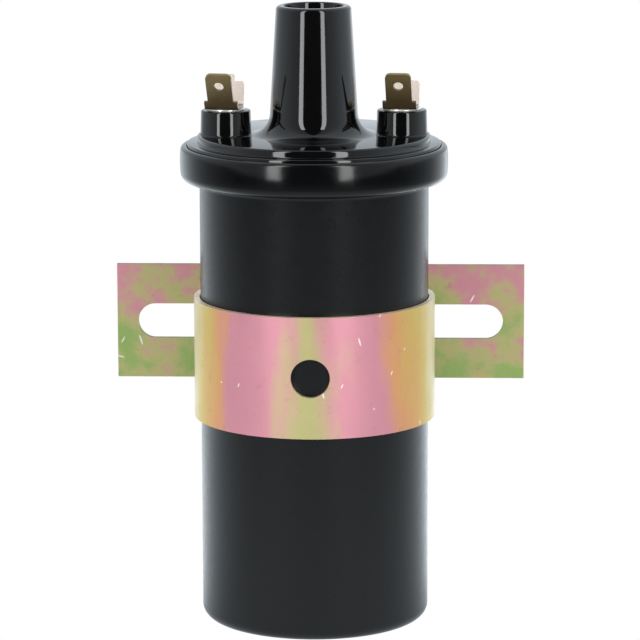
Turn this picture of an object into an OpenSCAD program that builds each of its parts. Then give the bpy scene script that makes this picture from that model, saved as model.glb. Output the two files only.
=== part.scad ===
// Canister ignition coil with its clamp bracket.
// Millimetres, +Z up. The origin is the centre of the can's base. The can's axis is Z,
// and the bracket's ears lie behind the can, at +Y.

/* [Can] */
// Outside diameter of the can's wall
can_d = 56; // [48:0.5:68]
// Thickness of the can's drawn sheet
can_t = 0.6; // [0.5:0.1:0.8]
// Height of the shoulder's underside, where the can flares out to its rim
shoulder_z = 109.4; // [95:0.2:140]
// Outside radius of the corner round the base
base_corner_r = 3; // [1.5:0.5:5]
// How far the crimped rim stands out from the wall
rim_out = 4.6; // [4:0.2:8]
// Radius of the hollow corner under the shoulder
neck_r = 1.2; // [0.8:0.1:2]
// Radius of the rim's lower corner
rim_corner_r = 2.2; // [1:0.1:2.4]
// Radius of the rim's upper corner
lip_corner_r = 1.0; // [0.8:0.1:1.3]
// How far the crimped lip covers the cap's flange
lip_cover = 0.8; // [0.5:0.1:1.5]

/* [Insulating cap] */
// Thickness of the cap's flange under the lip
flange_t = 5.2; // [4:0.2:8]
// Height of the cap's face above the lip's underside
face_step = 1.3; // [0.8:0.1:2]
// Width of the ledge between the lip and the raised disc
ledge_w = 2.5; // [1.5:0.1:4]
// Height of the raised disc above the ledge
disc_h = 1.9; // [1:0.1:4]
// Radius along the raised disc's edge
disc_edge_r = 0.7; // [0.3:0.1:0.9]
// Height of the high-tension tower above the disc
tower_h = 31.4; // [24:0.2:40]
// Outside diameter of the tower at its mouth
tower_top_d = 18.2; // [17:0.2:24]
// Outside diameter of the tower where its flare begins
tower_root_d = 21.4; // [20:0.2:26]
// Radius of the flare between the tower and the disc
flare_r = 5; // [3:0.5:6]
// Radius along the outer edge of the tower's mouth
mouth_edge_r = 0.9; // [0.4:0.1:1.2]
// Depth of the plug that centres the cap in the can
plug_h = 6; // [4:0.5:12]
// Thickness of the plug's wall
plug_t = 3; // [2:0.5:4]
// Height of the hollow in the cap's underside
cap_hollow_h = 3.8; // [2:0.2:4.5]
// Depth of the central sleeve below the flange
sleeve_drop = 8; // [6:0.5:12]
// Thickness of the central sleeve's wall
sleeve_t = 3.5; // [2:0.5:5]
// Turn of the cap in the can, away from the bracket's centre line
cap_turn = 2; // [-180:1:180]

/* [Terminal posts] */
// Diameter of a post at its top
post_top_d = 12.1; // [11:0.1:13]
// Diameter of a post at its root
post_root_d = 12.4; // [11:0.1:13.5]
// Height of a post above the disc
post_h = 6; // [4:0.5:12]
// Distance from the raised disc's edge to the posts' axes
post_inset = 7.05; // [6.5:0.05:9]
// Diameter of the rivets' shanks
rivet_d = 4; // [3:0.1:4.6]
// Diameter of the rivets' heads
rivet_head_d = 6.6; // [5.8:0.1:7]
// Height of the rivets' domed heads
rivet_head_h = 1.3; // [0.8:0.1:1.6]
// Diameter of the washers between the terminals and the posts
post_washer_d = 9.6; // [9:0.2:11]
// Thickness of the washers on the posts
post_washer_t = 0.5; // [0.3:0.1:1]
// Diameter of the washers under the cap
washer_d = 8.4; // [7.6:0.2:9]
// Thickness of the washers under the cap
washer_t = 1; // [0.6:0.1:1.2]

/* [Blade terminals] */
// Width of a blade
blade_w = 6.3; // [4.8:0.1:6.3]
// Thickness of the terminal's sheet
blade_t = 0.8; // [0.5:0.1:1]
// Length of the front blade, from the base plate
front_blade_len = 10.2; // [7:0.1:12]
// Length of the rear blade, from the base plate
rear_blade_len = 8.4; // [7.5:0.1:12]
// Height of the rear blade's wide part above its bend
rear_step_h = 5.6; // [3:0.1:6]
// Width of the tongue above the rear blade's wide part
tongue_w = 3.4; // [2.8:0.1:4.8]
// Lean of the front blade from upright
front_lean = 25; // [0:1:45]
// Lean of the rear blade from upright
rear_lean = 36; // [0:1:45]
// Width of the base plate, of the front blade's shoulders and of the rear blade's wide part
plate_w = 8.2; // [7.6:0.1:10]
// Reach of the base plate in front of the rivet, to its bend
plate_front = 4.2; // [3.9:0.1:6]
// Reach of the base plate behind the rivet, to its bend
plate_back = 3.9; // [3.9:0.1:6]
// Height of the front blade's shoulders above its bend
shoulder_h = 1.3; // [0.5:0.1:2]
// Inside radius of the terminal's bends
blade_bend_r = 0.5; // [0.3:0.1:1]
// Diameter of the latch hole in the front blade
latch_d = 2.4; // [1.5:0.1:2.6]
// Distance from the front blade's tip to its latch hole's centre
latch_in = 3.4; // [2.8:0.1:4]
// Corner cut at the front blade's tip
tip_cut = 1; // [0.3:0.1:1.5]
// Corner cut at the tongue's tip
tongue_cut = 0.4; // [0.2:0.1:1]
// Turn of the left terminal's front blade on its post
left_front_turn = -11; // [-30:1:30]
// Turn of the left terminal's rear blade on its post
left_rear_turn = -2; // [-30:1:30]
// Turn of the right terminal's front blade on its post
right_front_turn = -8; // [-30:1:30]
// Turn of the right terminal's rear blade on its post
right_rear_turn = -3; // [-30:1:30]

/* [High-tension connection] */
// Diameter of the tower's socket
socket_d = 14.4; // [11:0.1:15]
// Depth of the tower's socket
socket_depth = 28; // [18:0.5:32]
// Outside diameter of the brass contact
contact_d = 10; // [9:0.2:11]
// Bore of the brass contact
contact_bore_d = 8; // [6:0.2:8.4]
// Depth of the brass contact's bore
contact_depth = 9; // [6:0.5:10]
// Thickness of the brass contact's floor
contact_floor_t = 2; // [1:0.5:3]
// Diameter of the contact spring, to the middle of its wire
spring_d = 6; // [5:0.2:7]
// Diameter of the spring's wire
spring_wire_d = 0.8; // [0.5:0.1:1]
// Length of the spring as fitted
spring_len = 9; // [7:0.5:12]
// Number of turns in the spring
spring_turns = 5; // [3:1:6]
// Thickness of the plate on top of the core
core_plate_t = 0.8; // [0.5:0.1:1.5]

/* [Core and windings] */
// Diameter of the circle that the iron core fills
core_d = 14.4; // [10:0.2:16]
// Thickness of one core strip
strip_t = 0.95; // [0.5:0.05:1.5]
// Varnish gap between core strips
strip_gap = 0.05; // [0.05:0.01:0.1]
// Thickness of the tube round the core
core_tube_t = 1.4; // [0.8:0.1:2]
// Thickness of the secondary winding
secondary_t = 6.3; // [4:0.1:7.5]
// Thickness of the paper between the windings
paper_t = 1; // [0.5:0.1:2]
// Thickness of the primary winding
primary_t = 3; // [1.5:0.1:4]
// Thickness of the wrap round the primary winding
wrap_t = 0.8; // [0.4:0.1:1.2]
// Margin of bare paper above a winding
winding_margin = 2; // [1:0.5:4]
// Thickness of a magnetic shield sheet
shield_t = 0.5; // [0.3:0.1:0.6]
// Width of a shield sheet's slit
shield_slit = 2; // [1:0.5:5]
// Height of the ceramic foot's base
foot_h = 9; // [5:0.5:14]
// Height of the ceramic foot's boss, which carries the windings
boss_h = 7.4; // [5:0.2:10]
// Depth of the core's seat in the ceramic foot
seat_depth = 6.4; // [4:0.2:8]
// Thickness of the centring disc above the windings
centring_t = 2; // [1:0.5:3]
// Diameter of an insulated primary lead
lead_d = 1.8; // [1:0.1:2.2]
// Thickness of the leads' eyelets
eyelet_t = 0.6; // [0.4:0.1:1]

/* [Bracket] */
// Height of the bracket's strip
strap_h = 29.6; // [20:0.2:36]
// Height of the strip's lower edge above the base
strap_z = 50.9; // [8:0.1:60]
// Thickness of the strip
strap_t = 1.4; // [1:0.1:1.6]
// Gap between the can and the band
strap_gap = 0.2; // [0.2:0.05:0.5]
// Gap between the clamp's two legs
leg_gap = 5; // [3:0.5:8]
// Inside radius of the strip's bends
strap_bend_r = 1.5; // [1:0.1:2.5]
// Straight length of a leg between its bends
leg_len = 10.3; // [10:0.1:16]
// Distance between the outer ends of the ears
ear_span = 104.8; // [100:0.2:130]
// Width of an ear's slot
slot_w = 9; // [6:0.1:12]
// Length of an ear's slot from end to end
slot_len = 24; // [14:0.5:26]
// Margin between a slot and the ear's end
slot_margin = 5.4; // [4:0.1:8]
// Diameter of the hole in the front of the band
front_hole_d = 9.4; // [5:0.1:12]

/* [Clamp screw] */
// Diameter of the clamp screw
screw_d = 5; // [4:0.5:5]
// Clearance round the screw in the legs' holes, on the radius
screw_clearance = 0.3; // [0.2:0.05:0.5]
// Width across the flats of the screw's head and nut
hex_w = 8; // [7:0.5:8]
// Height of the screw's head
head_h = 3.5; // [2.5:0.1:4]
// Width of the driver slot in the head
driver_slot_w = 1.2; // [0.8:0.1:1.5]
// Depth of the driver slot in the head
driver_slot_depth = 1.4; // [0.8:0.1:1.8]
// Length of the screw under its head
screw_len = 16; // [14:1:25]
// Height of the nut
nut_h = 4; // [3:0.1:5]
// Diameter of the lock washer
lock_washer_d = 8.8; // [7.6:0.2:9.2]
// Thickness of the lock washer
lock_washer_t = 1.2; // [0.8:0.1:1.6]
// Width of the lock washer's split
lock_split = 1; // [0.5:0.1:1.5]

/* [Fits] */
// Clearance on the radius between moulded and drawn parts
part_clearance = 0.1; // [0.05:0.05:0.2]
// Clearance on the radius between the cap's plug and the can
plug_clearance = 0.4; // [0.2:0.05:0.8]
// Clearance on the radius between the screw and its nut
thread_clearance = 0.05; // [0.02:0.01:0.1]
// Clearance on the radius between the washers under the cap and their pockets
pocket_gap = 0.3; // [0.2:0.05:0.4]
// Thickness of the rubber gasket under the cap
gasket_t = 2.2; // [1:0.2:3]

/* [Hidden] */

$fn = 96;
eps = 0.01;
far = 400;

// Radii, from the can outwards and inwards
can_r = can_d / 2;
can_bore_r = can_r - can_t;
rim_r = can_r + rim_out;
flange_r = rim_r - can_t - part_clearance;
lip_r = flange_r - lip_cover;
flange_corner = lip_corner_r - can_t;
face_r = lip_r - part_clearance;
disc_r = face_r - ledge_w;
post_x = disc_r - post_inset;
plug_r = can_bore_r - plug_clearance;
shield_outer_r = can_bore_r - part_clearance;
shield_inner_r = shield_outer_r - shield_t - part_clearance;

// Heights, from the base to the tower's mouth
floor_z = can_t;
gasket_z = shoulder_z + can_t;
flange_z = gasket_z + gasket_t;
lip_z = flange_z + flange_t;
rim_top_z = lip_z + can_t;
face_z = lip_z + face_step;
disc_z = face_z + disc_h;
tower_z = disc_z + tower_h;
post_z = disc_z + post_h;
hollow_z = flange_z + cap_hollow_h;
sleeve_z = flange_z - sleeve_drop;

// High-tension line
socket_z = tower_z - socket_depth;
contact_z = socket_z - contact_depth - contact_floor_t;
spring_top_z = contact_z;
core_plate_z = spring_top_z - spring_len - core_plate_t;
spring_bore_d = spring_d + spring_wire_d + 1.2;
spigot_d = spring_d - spring_wire_d - 0.8;
spigot_h = 1.4;

// Core and windings
core_r = core_d / 2;
core_tube_r = core_r + part_clearance + core_tube_t;
secondary_r = core_tube_r + part_clearance + secondary_t;
paper_r = secondary_r + part_clearance + paper_t;
primary_r = paper_r + part_clearance + primary_t;
wrap_r = primary_r + part_clearance + wrap_t;
foot_r = can_r - base_corner_r - 1;
foot_top_z = floor_z + foot_h + boss_h;
core_seat_z = foot_top_z - seat_depth;
centring_z = core_plate_z - core_plate_t - 4;
winding_top_z = centring_z - winding_margin;
strip_pitch = strip_t + strip_gap;
strips_each_side = floor((core_r - strip_t / 2) / strip_pitch);

// Terminals
post_washer_z = post_z;
plate_z = post_washer_z + post_washer_t;
plate_top_z = plate_z + blade_t;
eyelet_z = hollow_z - washer_t - eyelet_t;
rivet_tail_h = 1.2;
rivet_hole_d = rivet_d + 2 * part_clearance;
lead_x = (primary_r + paper_r) / 2;
lead_end_x = post_x - rivet_head_d / 2 - lead_d / 2;

// Bracket
band_in_r = can_r + strap_gap;
band_r = band_in_r + strap_t;
leg_in_x = leg_gap / 2;
leg_x = leg_in_x + strap_t;
bend_x = leg_x + strap_bend_r;
leg_start_y = sqrt(pow(band_r + strap_bend_r, 2) - pow(bend_x, 2));
leg_end_y = leg_start_y + leg_len;
ear_y = leg_end_y + strap_bend_r;
slot_x = ear_span / 2 - slot_margin - slot_len / 2;
strap_mid_z = strap_z + strap_h / 2;
screw_y = (leg_start_y + leg_end_y) / 2;
screw_hole_d = screw_d + 2 * screw_clearance;
thread_d = screw_d - 2 * thread_clearance;

// A slice of the plane between two angles, less than a half turn apart
module wedge(a0, a1) {
    polygon([
        [0, 0],
        [far * cos(a0), far * sin(a0)],
        [far * cos((a0 + a1) / 2), far * sin((a0 + a1) / 2)],
        [far * cos(a1), far * sin(a1)]
    ]);
}

// A bent strip seen on its edge: a ring's part between two angles
module arc_strip(centre, r_in, r_out, a0, a1) {
    translate(centre)
        intersection() {
            difference() {
                circle(r_out);
                circle(r_in);
            }
            wedge(a0, a1);
        }
}

module box2(x0, y0, x1, y1) {
    translate([x0, y0])
        square([x1 - x0, y1 - y0]);
}

module tube(r_in, r_out, z0, z1) {
    translate([0, 0, z0])
        difference() {
            cylinder(h = z1 - z0, r = r_out);
            translate([0, 0, -1])
                cylinder(h = z1 - z0 + 2, r = r_in);
        }
}

module rod(r, z0, z1) {
    translate([0, 0, z0])
        cylinder(h = z1 - z0, r = r);
}

// Both posts take what is drawn here, side being -1 on the left and 1 on the right
module at_post(side) {
    rotate(cap_turn)
        translate([side * post_x, 0, 0])
            children();
}

// Drawn can: floor, wall, shoulder and the rim that is crimped over the cap
module can_section() {
    corner_in_r = base_corner_r - can_t;
    box2(0, 0, can_r - base_corner_r, can_t);
    arc_strip([can_r - base_corner_r, base_corner_r], corner_in_r, base_corner_r, -90, 0);
    box2(can_bore_r, base_corner_r, can_r, shoulder_z - neck_r);
    arc_strip([can_r + neck_r, shoulder_z - neck_r], neck_r, neck_r + can_t, 90, 180);
    box2(can_r + neck_r, shoulder_z, rim_r - rim_corner_r, gasket_z);
    arc_strip([rim_r - rim_corner_r, shoulder_z + rim_corner_r],
        rim_corner_r - can_t, rim_corner_r, -90, 0);
    box2(rim_r - can_t, shoulder_z + rim_corner_r, rim_r, rim_top_z - lip_corner_r);
    arc_strip([rim_r - lip_corner_r, rim_top_z - lip_corner_r],
        lip_corner_r - can_t, lip_corner_r, 0, 90);
    box2(lip_r, lip_z, rim_r - lip_corner_r, rim_top_z);
}

module can() {
    color([0.07, 0.07, 0.075])
        rotate_extrude()
            can_section();
}

// Moulded cap: plug, flange, ledge, raised disc, flare and tower, turned about the axis
module cap_section() {
    flare_x = tower_root_d / 2 + flare_r;
    flare_z = disc_z + flare_r;
    box2(plug_r - plug_t, flange_z - plug_h, plug_r, flange_z);
    box2(0, flange_z, can_bore_r - plug_clearance, lip_z);
    difference() {
        polygon([
            [0, flange_z],
            [flange_r, flange_z],
            [flange_r, lip_z - flange_corner],
            [flange_r - flange_corner, lip_z],
            [0, lip_z]
        ]);
        translate([rim_r - rim_corner_r, shoulder_z + rim_corner_r])
            difference() {
                square([far, 2 * rim_corner_r], center = true);
                circle(rim_corner_r - can_t - part_clearance);
                translate([-far, -rim_corner_r])
                    square([far, far]);
                translate([-far, 0])
                    square([2 * far, far]);
            }
    }
    box2(0, lip_z, face_r, face_z);
    box2(0, face_z, disc_r - disc_edge_r, disc_z);
    box2(0, face_z, disc_r, disc_z - disc_edge_r);
    translate([disc_r - disc_edge_r, disc_z - disc_edge_r])
        circle(disc_edge_r);
    difference() {
        box2(0, disc_z - eps, flare_x, flare_z);
        translate([flare_x, flare_z])
            circle(flare_r);
    }
    polygon([
        [0, flare_z - eps],
        [tower_root_d / 2, flare_z - eps],
        [tower_root_d / 2, flare_z],
        [tower_top_d / 2, tower_z - mouth_edge_r],
        [tower_top_d / 2 - mouth_edge_r, tower_z - mouth_edge_r],
        [tower_top_d / 2 - mouth_edge_r, tower_z],
        [0, tower_z]
    ]);
    translate([tower_top_d / 2 - mouth_edge_r, tower_z - mouth_edge_r])
        circle(mouth_edge_r);
    box2(0, sleeve_z, spring_bore_d / 2 + sleeve_t, flange_z + eps);
}

module insulator_cap() {
    color([0.03, 0.03, 0.03])
        difference() {
            union() {
                rotate_extrude()
                    cap_section();
                for (side = [-1, 1])
                    at_post(side)
                        translate([0, 0, disc_z - eps])
                            cylinder(h = post_h + eps, d1 = post_root_d, d2 = post_top_d);
            }
            tube(spring_bore_d / 2 + sleeve_t, plug_r - plug_t, flange_z - 1, hollow_z);
            rod(socket_d / 2, socket_z, tower_z + 1);
            rod(contact_d / 2, contact_z, socket_z + eps);
            rod(spring_bore_d / 2, sleeve_z - 1, contact_z + eps);
            for (side = [-1, 1])
                at_post(side) {
                    rod(rivet_hole_d / 2, flange_z - 1, post_z + 1);
                    rod(washer_d / 2 + pocket_gap, flange_z - plug_h - 1, hollow_z);
                }
        }
}

module cap_gasket() {
    color([0.09, 0.09, 0.09])
        tube(can_r + neck_r, flange_r - rim_corner_r + can_t, gasket_z, flange_z);
}

module ht_contact() {
    color([0.78, 0.62, 0.3])
        difference() {
            union() {
                rod(contact_d / 2, contact_z, socket_z);
                rod(spigot_d / 2, contact_z - spigot_h, contact_z + eps);
            }
            rod(contact_bore_d / 2, socket_z - contact_depth, socket_z + 1);
        }
}

// Spring wire: rings of points along a helix, closed by flat ends
module ht_spring() {
    sides = 8;
    steps = 16 * spring_turns;
    wire_r = spring_wire_d / 2;
    rise = spring_len - spring_wire_d - 2 * eps;
    rings = [for (i = [0:steps])
        let (a = 360 * spring_turns * i / steps, z = core_plate_z + core_plate_t + wire_r + eps
            + rise * i / steps)
        [for (k = [0:sides - 1])
            let (b = 360 * k / sides, r = spring_d / 2 + wire_r * cos(b))
            [r * cos(a), r * sin(a), z + wire_r * sin(b)]]];
    points = [for (ring = rings) for (p = ring) p];
    walls = [for (i = [0:steps - 1]) for (k = [0:sides - 1])
        [i * sides + k, i * sides + (k + 1) % sides,
            (i + 1) * sides + (k + 1) % sides, (i + 1) * sides + k]];
    ends = [[for (k = [0:sides - 1]) sides - 1 - k], [for (k = [0:sides - 1]) steps * sides + k]];
    color([0.75, 0.75, 0.78])
        polyhedron(points, concat(walls, ends));
}

module core_plate() {
    color([0.78, 0.62, 0.3]) {
        rod(core_r, core_plate_z, core_plate_z + core_plate_t);
        rod(spigot_d / 2, core_plate_z, core_plate_z + core_plate_t + spigot_h);
    }
}

// Iron strips of several widths, stacked to fill a circle
module core_strips() {
    color([0.45, 0.45, 0.47])
        for (i = [-strips_each_side:strips_each_side]) {
            edge_y = abs(i) * strip_pitch + strip_t / 2;
            half_w = sqrt(pow(core_r, 2) - pow(edge_y, 2));
            translate([-half_w, i * strip_pitch - strip_t / 2, core_seat_z])
                cube([2 * half_w, strip_t, core_plate_z - core_seat_z]);
        }
}

module core_tube() {
    color([0.55, 0.4, 0.22])
        tube(core_tube_r - core_tube_t, core_tube_r, core_seat_z, core_plate_z - 1);
}

module secondary_winding() {
    color([0.62, 0.28, 0.14])
        tube(secondary_r - secondary_t, secondary_r, foot_top_z, winding_top_z);
}

module winding_paper() {
    color([0.75, 0.62, 0.42])
        tube(paper_r - paper_t, paper_r, foot_top_z, centring_z);
}

module primary_winding() {
    color([0.72, 0.36, 0.18])
        tube(primary_r - primary_t, primary_r, foot_top_z, winding_top_z);
}

module outer_wrap() {
    color([0.75, 0.62, 0.42])
        tube(wrap_r - wrap_t, wrap_r, foot_top_z, centring_z);
}

// Rolled sheet steel, open along one side
module shield(r, slit_a) {
    color([0.5, 0.5, 0.52])
        difference() {
            tube(r - shield_t, r, floor_z + base_corner_r, sleeve_z - 1);
            rotate(slit_a)
                translate([0, -shield_slit / 2, 0])
                    cube([far, shield_slit, far]);
        }
}

module shield_inner() {
    shield(shield_inner_r, -90);
}

module shield_outer() {
    shield(shield_outer_r, 90);
}

module ceramic_foot() {
    color([0.85, 0.82, 0.74])
        difference() {
            union() {
                rod(foot_r, floor_z, floor_z + foot_h);
                rod(wrap_r, floor_z, foot_top_z);
            }
            rod(core_tube_r + part_clearance, core_seat_z, foot_top_z + 1);
        }
}

module centring_disc() {
    disc_out_r = shield_inner_r - shield_t - part_clearance;
    color([0.6, 0.45, 0.27])
        difference() {
            tube(core_tube_r + part_clearance, disc_out_r, centring_z, centring_z + centring_t);
            for (side = [-1, 1])
                rotate(cap_turn)
                    translate([side * lead_x, 0, 0])
                        rod(lead_d / 2 + part_clearance, centring_z - 1, centring_z + 2 * centring_t);
        }
}

// Insulated wire in the XZ plane: straight runs with slightly swollen joints
module wire(points, r) {
    for (i = [0:len(points) - 2]) {
        run = points[i + 1] - points[i];
        translate([points[i][0], 0, points[i][1]])
            rotate([0, atan2(run[0], run[1]), 0])
                cylinder(h = norm(run), r = r);
    }
    for (i = [1:len(points) - 2])
        translate([points[i][0], 0, points[i][1]])
            sphere(1.05 * r);
}

// Lead from the primary winding, through the centring disc, to an eyelet on the rivet
module primary_lead(side) {
    rise_z = centring_z + centring_t + 2;
    eyelet_mid_z = eyelet_z + eyelet_t / 2;
    color([0.45, 0.12, 0.08])
        rotate(cap_turn + (side < 0 ? 180 : 0)) {
            wire([
                [lead_x, winding_top_z],
                [lead_x, rise_z],
                [lead_end_x, rise_z + 4],
                [lead_end_x, eyelet_mid_z]
            ], lead_d / 2);
            translate([post_x, 0, 0])
                tube(rivet_d / 2 + part_clearance, washer_d / 2, eyelet_z, eyelet_z + eyelet_t);
        }
}

module primary_lead_left() {
    primary_lead(-1);
}

module primary_lead_right() {
    primary_lead(1);
}

// Straight length of a blade, above its bend
function blade_run(lean, len) = len - (90 - lean) * PI / 180 * (blade_bend_r + blade_t / 2);

// Side view of one blade: the bend out of the base plate and the leaning blade
module blade_side(reach, lean, len) {
    centre_z = blade_t + blade_bend_r;
    translate([reach, centre_z]) {
        arc_strip([0, 0], blade_bend_r, blade_bend_r + blade_t, -90, -lean);
        rotate(-lean)
            box2(blade_bend_r, 0, blade_bend_r + blade_t, len);
    }
}

// One blade, rising at +Y, cut down to the width of its tip above its step in its own plane
module blade(reach, lean, len, step_h, tip_w, corner) {
    centre_z = blade_t + blade_bend_r;
    run = blade_run(lean, len);
    difference() {
        rotate([90, 0, 90])
            translate([0, 0, -plate_w / 2])
                linear_extrude(plate_w)
                    blade_side(reach, lean, run);
        translate([0, reach, centre_z])
            rotate([-lean, 0, 0])
                for (side = [-1, 1]) {
                    translate([side * (tip_w + plate_w) / 2, blade_bend_r, step_h + len / 2])
                        cube([plate_w, 4 * blade_t, len], center = true);
                    translate([side * tip_w / 2, blade_bend_r, run])
                        rotate([0, 45, 0])
                            cube([corner * sqrt(2), 4 * blade_t, corner * sqrt(2)], center = true);
                }
    }
}

// The front blade has a latch hole
module front_blade() {
    difference() {
        blade(plate_front, front_lean, front_blade_len, shoulder_h, blade_w, tip_cut);
        translate([0, plate_front, blade_t + blade_bend_r])
            rotate([-front_lean, 0, 0])
                translate([0, 0, blade_run(front_lean, front_blade_len) - latch_in])
                    rotate([-90, 0, 0])
                        cylinder(h = blade_bend_r + 2 * blade_t, d = latch_d, $fn = 48);
    }
}

module terminal(side, front_turn, rear_turn) {
    color([0.8, 0.68, 0.38])
        at_post(side)
            translate([0, 0, plate_z]) {
                difference() {
                    union() {
                        rod(plate_w / 2, 0, blade_t);
                        rotate(front_turn)
                            translate([-plate_w / 2, -plate_front, 0])
                                cube([plate_w, plate_front, blade_t]);
                        rotate(rear_turn)
                            translate([-plate_w / 2, 0, 0])
                                cube([plate_w, plate_back, blade_t]);
                    }
                    rod(rivet_hole_d / 2, -1, blade_t + 1);
                }
                rotate(rear_turn)
                    blade(plate_back, rear_lean, rear_blade_len, rear_step_h, tongue_w, tongue_cut);
                rotate(front_turn + 180)
                    front_blade();
            }
}

module terminal_left() {
    terminal(-1, left_front_turn, left_rear_turn);
}

module terminal_right() {
    terminal(1, right_front_turn, right_rear_turn);
}

// Rivet: domed head on the terminal, shank through the post, tail spread under the eyelet
module rivet(side) {
    dome_r = (pow(rivet_head_d / 2, 2) + pow(rivet_head_h, 2)) / (2 * rivet_head_h);
    color([0.82, 0.7, 0.42])
        at_post(side) {
            rod(rivet_d / 2, eyelet_z - rivet_tail_h, plate_top_z + eps);
            rod(rivet_head_d / 2, eyelet_z - rivet_tail_h, eyelet_z);
            intersection() {
                translate([0, 0, plate_top_z + rivet_head_h - dome_r])
                    sphere(dome_r);
                rod(rivet_head_d, plate_top_z, plate_top_z + rivet_head_h + 1);
            }
        }
}

module rivet_left() {
    rivet(-1);
}

module rivet_right() {
    rivet(1);
}

module post_washer(side) {
    color([0.74, 0.74, 0.75])
        at_post(side)
            tube(rivet_hole_d / 2, post_washer_d / 2, post_washer_z, plate_z);
}

module post_washer_left() {
    post_washer(-1);
}

module post_washer_right() {
    post_washer(1);
}

module lower_washers() {
    color([0.7, 0.7, 0.72])
        for (side = [-1, 1])
            at_post(side)
                tube(rivet_hole_d / 2, washer_d / 2, hollow_z - washer_t, hollow_z);
}

// The space inside one face of the strip, as a solid block: the band's cylinder, the block
// between the legs' faces, and the hollows of the bends at the band and at the ear
module strip_block(band_face_r, leg_face_x, bend_r, top_y, h) {
    touch = band_face_r / (band_face_r + bend_r);
    inside = touch - 0.02;
    cylinder(h = h, r = band_face_r);
    translate([-leg_face_x, 0, 0])
        cube([2 * leg_face_x, top_y, h]);
    for (side = [0, 1])
        mirror([side, 0, 0]) {
            difference() {
                linear_extrude(h)
                    polygon([
                        [bend_x, leg_start_y],
                        [bend_x * touch, leg_start_y * touch],
                        [bend_x * inside, leg_start_y * inside],
                        [leg_face_x - 1, leg_start_y * inside],
                        [leg_face_x - 1, leg_start_y]
                    ]);
                translate([bend_x, leg_start_y, -1])
                    cylinder(h = h + 2, r = bend_r);
            }
            difference() {
                translate([leg_face_x - 1, leg_end_y, 0])
                    cube([bend_x - leg_face_x + 1, bend_r + eps, h]);
                translate([bend_x, leg_end_y, -1])
                    cylinder(h = h + 2, r = bend_r);
            }
        }
}

module slot_cut(x) {
    translate([x, ear_y - 1, strap_mid_z])
        rotate([-90, 0, 0]) {
            for (side = [-1, 1])
                translate([side * (slot_len - slot_w) / 2, 0, 0])
                    cylinder(h = strap_t + 2, d = slot_w);
            translate([-(slot_len - slot_w) / 2, -slot_w / 2, 0])
                cube([slot_len - slot_w, slot_w, strap_t + 2]);
        }
}

module mounting_strap() {
    color([0.85, 0.72, 0.42])
        difference() {
            translate([0, 0, strap_z]) {
                strip_block(band_r, leg_x, strap_bend_r, ear_y + eps, strap_h);
                translate([-ear_span / 2, ear_y, 0])
                    cube([ear_span, strap_t, strap_h]);
            }
            translate([0, 0, strap_z - 1])
                strip_block(band_in_r, leg_in_x, strap_bend_r + strap_t, ear_y + strap_t + 1, strap_h + 2);
            slot_cut(slot_x);
            slot_cut(-slot_x);
            translate([-leg_x - 1, screw_y, strap_mid_z])
                rotate([0, 90, 0])
                    cylinder(h = 2 * leg_x + 2, d = screw_hole_d);
            translate([0, -band_in_r + 1, strap_mid_z])
                rotate([90, 0, 0])
                    cylinder(h = strap_t + 3, d = front_hole_d);
        }
}

// Clamp hardware lies along X. Each piece is drawn along Z from the leg's outer face.
module at_clamp(side) {
    translate([side * leg_x, screw_y, strap_mid_z])
        rotate([0, side * 90, 0])
            children();
}

module hexagon(h) {
    cylinder(h = h, d = hex_w / cos(30), $fn = 6);
}

module clamp_screw() {
    color([0.78, 0.75, 0.62])
        at_clamp(1) {
            difference() {
                hexagon(head_h);
                translate([-hex_w, -driver_slot_w / 2, head_h - driver_slot_depth])
                    cube([2 * hex_w, driver_slot_w, head_h]);
            }
            rod(thread_d / 2, -screw_len, eps);
        }
}

module lock_washer() {
    color([0.6, 0.6, 0.62])
        at_clamp(-1)
            difference() {
                tube(screw_d / 2 + part_clearance, lock_washer_d / 2, 0, lock_washer_t);
                translate([0, -lock_split / 2, -1])
                    cube([hex_w, lock_split, lock_washer_t + 2]);
            }
}

module clamp_nut() {
    color([0.78, 0.75, 0.62])
        at_clamp(-1)
            translate([0, 0, lock_washer_t])
                difference() {
                    hexagon(nut_h);
                    rod(screw_d / 2, -1, nut_h + 1);
                }
}

can();
insulator_cap();
cap_gasket();
ht_contact();
ht_spring();
core_plate();
core_strips();
core_tube();
secondary_winding();
winding_paper();
primary_winding();
outer_wrap();
shield_inner();
shield_outer();
ceramic_foot();
centring_disc();
primary_lead_left();
primary_lead_right();
terminal_left();
terminal_right();
rivet_left();
rivet_right();
post_washer_left();
post_washer_right();
lower_washers();
mounting_strap();
clamp_screw();
lock_washer();
clamp_nut();
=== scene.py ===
import math

import bmesh
import bpy
from mathutils import Matrix, Vector


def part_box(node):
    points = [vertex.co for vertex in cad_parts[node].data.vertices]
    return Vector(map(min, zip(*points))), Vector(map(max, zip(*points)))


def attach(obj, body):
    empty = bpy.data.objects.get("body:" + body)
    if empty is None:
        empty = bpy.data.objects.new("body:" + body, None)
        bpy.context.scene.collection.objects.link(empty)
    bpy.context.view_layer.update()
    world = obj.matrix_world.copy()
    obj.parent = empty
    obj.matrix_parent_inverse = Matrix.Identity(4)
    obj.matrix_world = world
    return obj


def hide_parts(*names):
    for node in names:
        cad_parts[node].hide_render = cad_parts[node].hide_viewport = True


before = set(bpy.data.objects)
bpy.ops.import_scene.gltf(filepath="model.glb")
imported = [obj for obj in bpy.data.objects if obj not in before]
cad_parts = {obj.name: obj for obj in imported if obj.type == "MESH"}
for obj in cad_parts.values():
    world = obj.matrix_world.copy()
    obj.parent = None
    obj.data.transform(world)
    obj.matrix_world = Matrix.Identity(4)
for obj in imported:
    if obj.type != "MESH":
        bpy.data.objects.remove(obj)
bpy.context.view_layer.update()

mm = 0.001
fullTurn = 2 * math.pi
scene = bpy.context.scene


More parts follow.
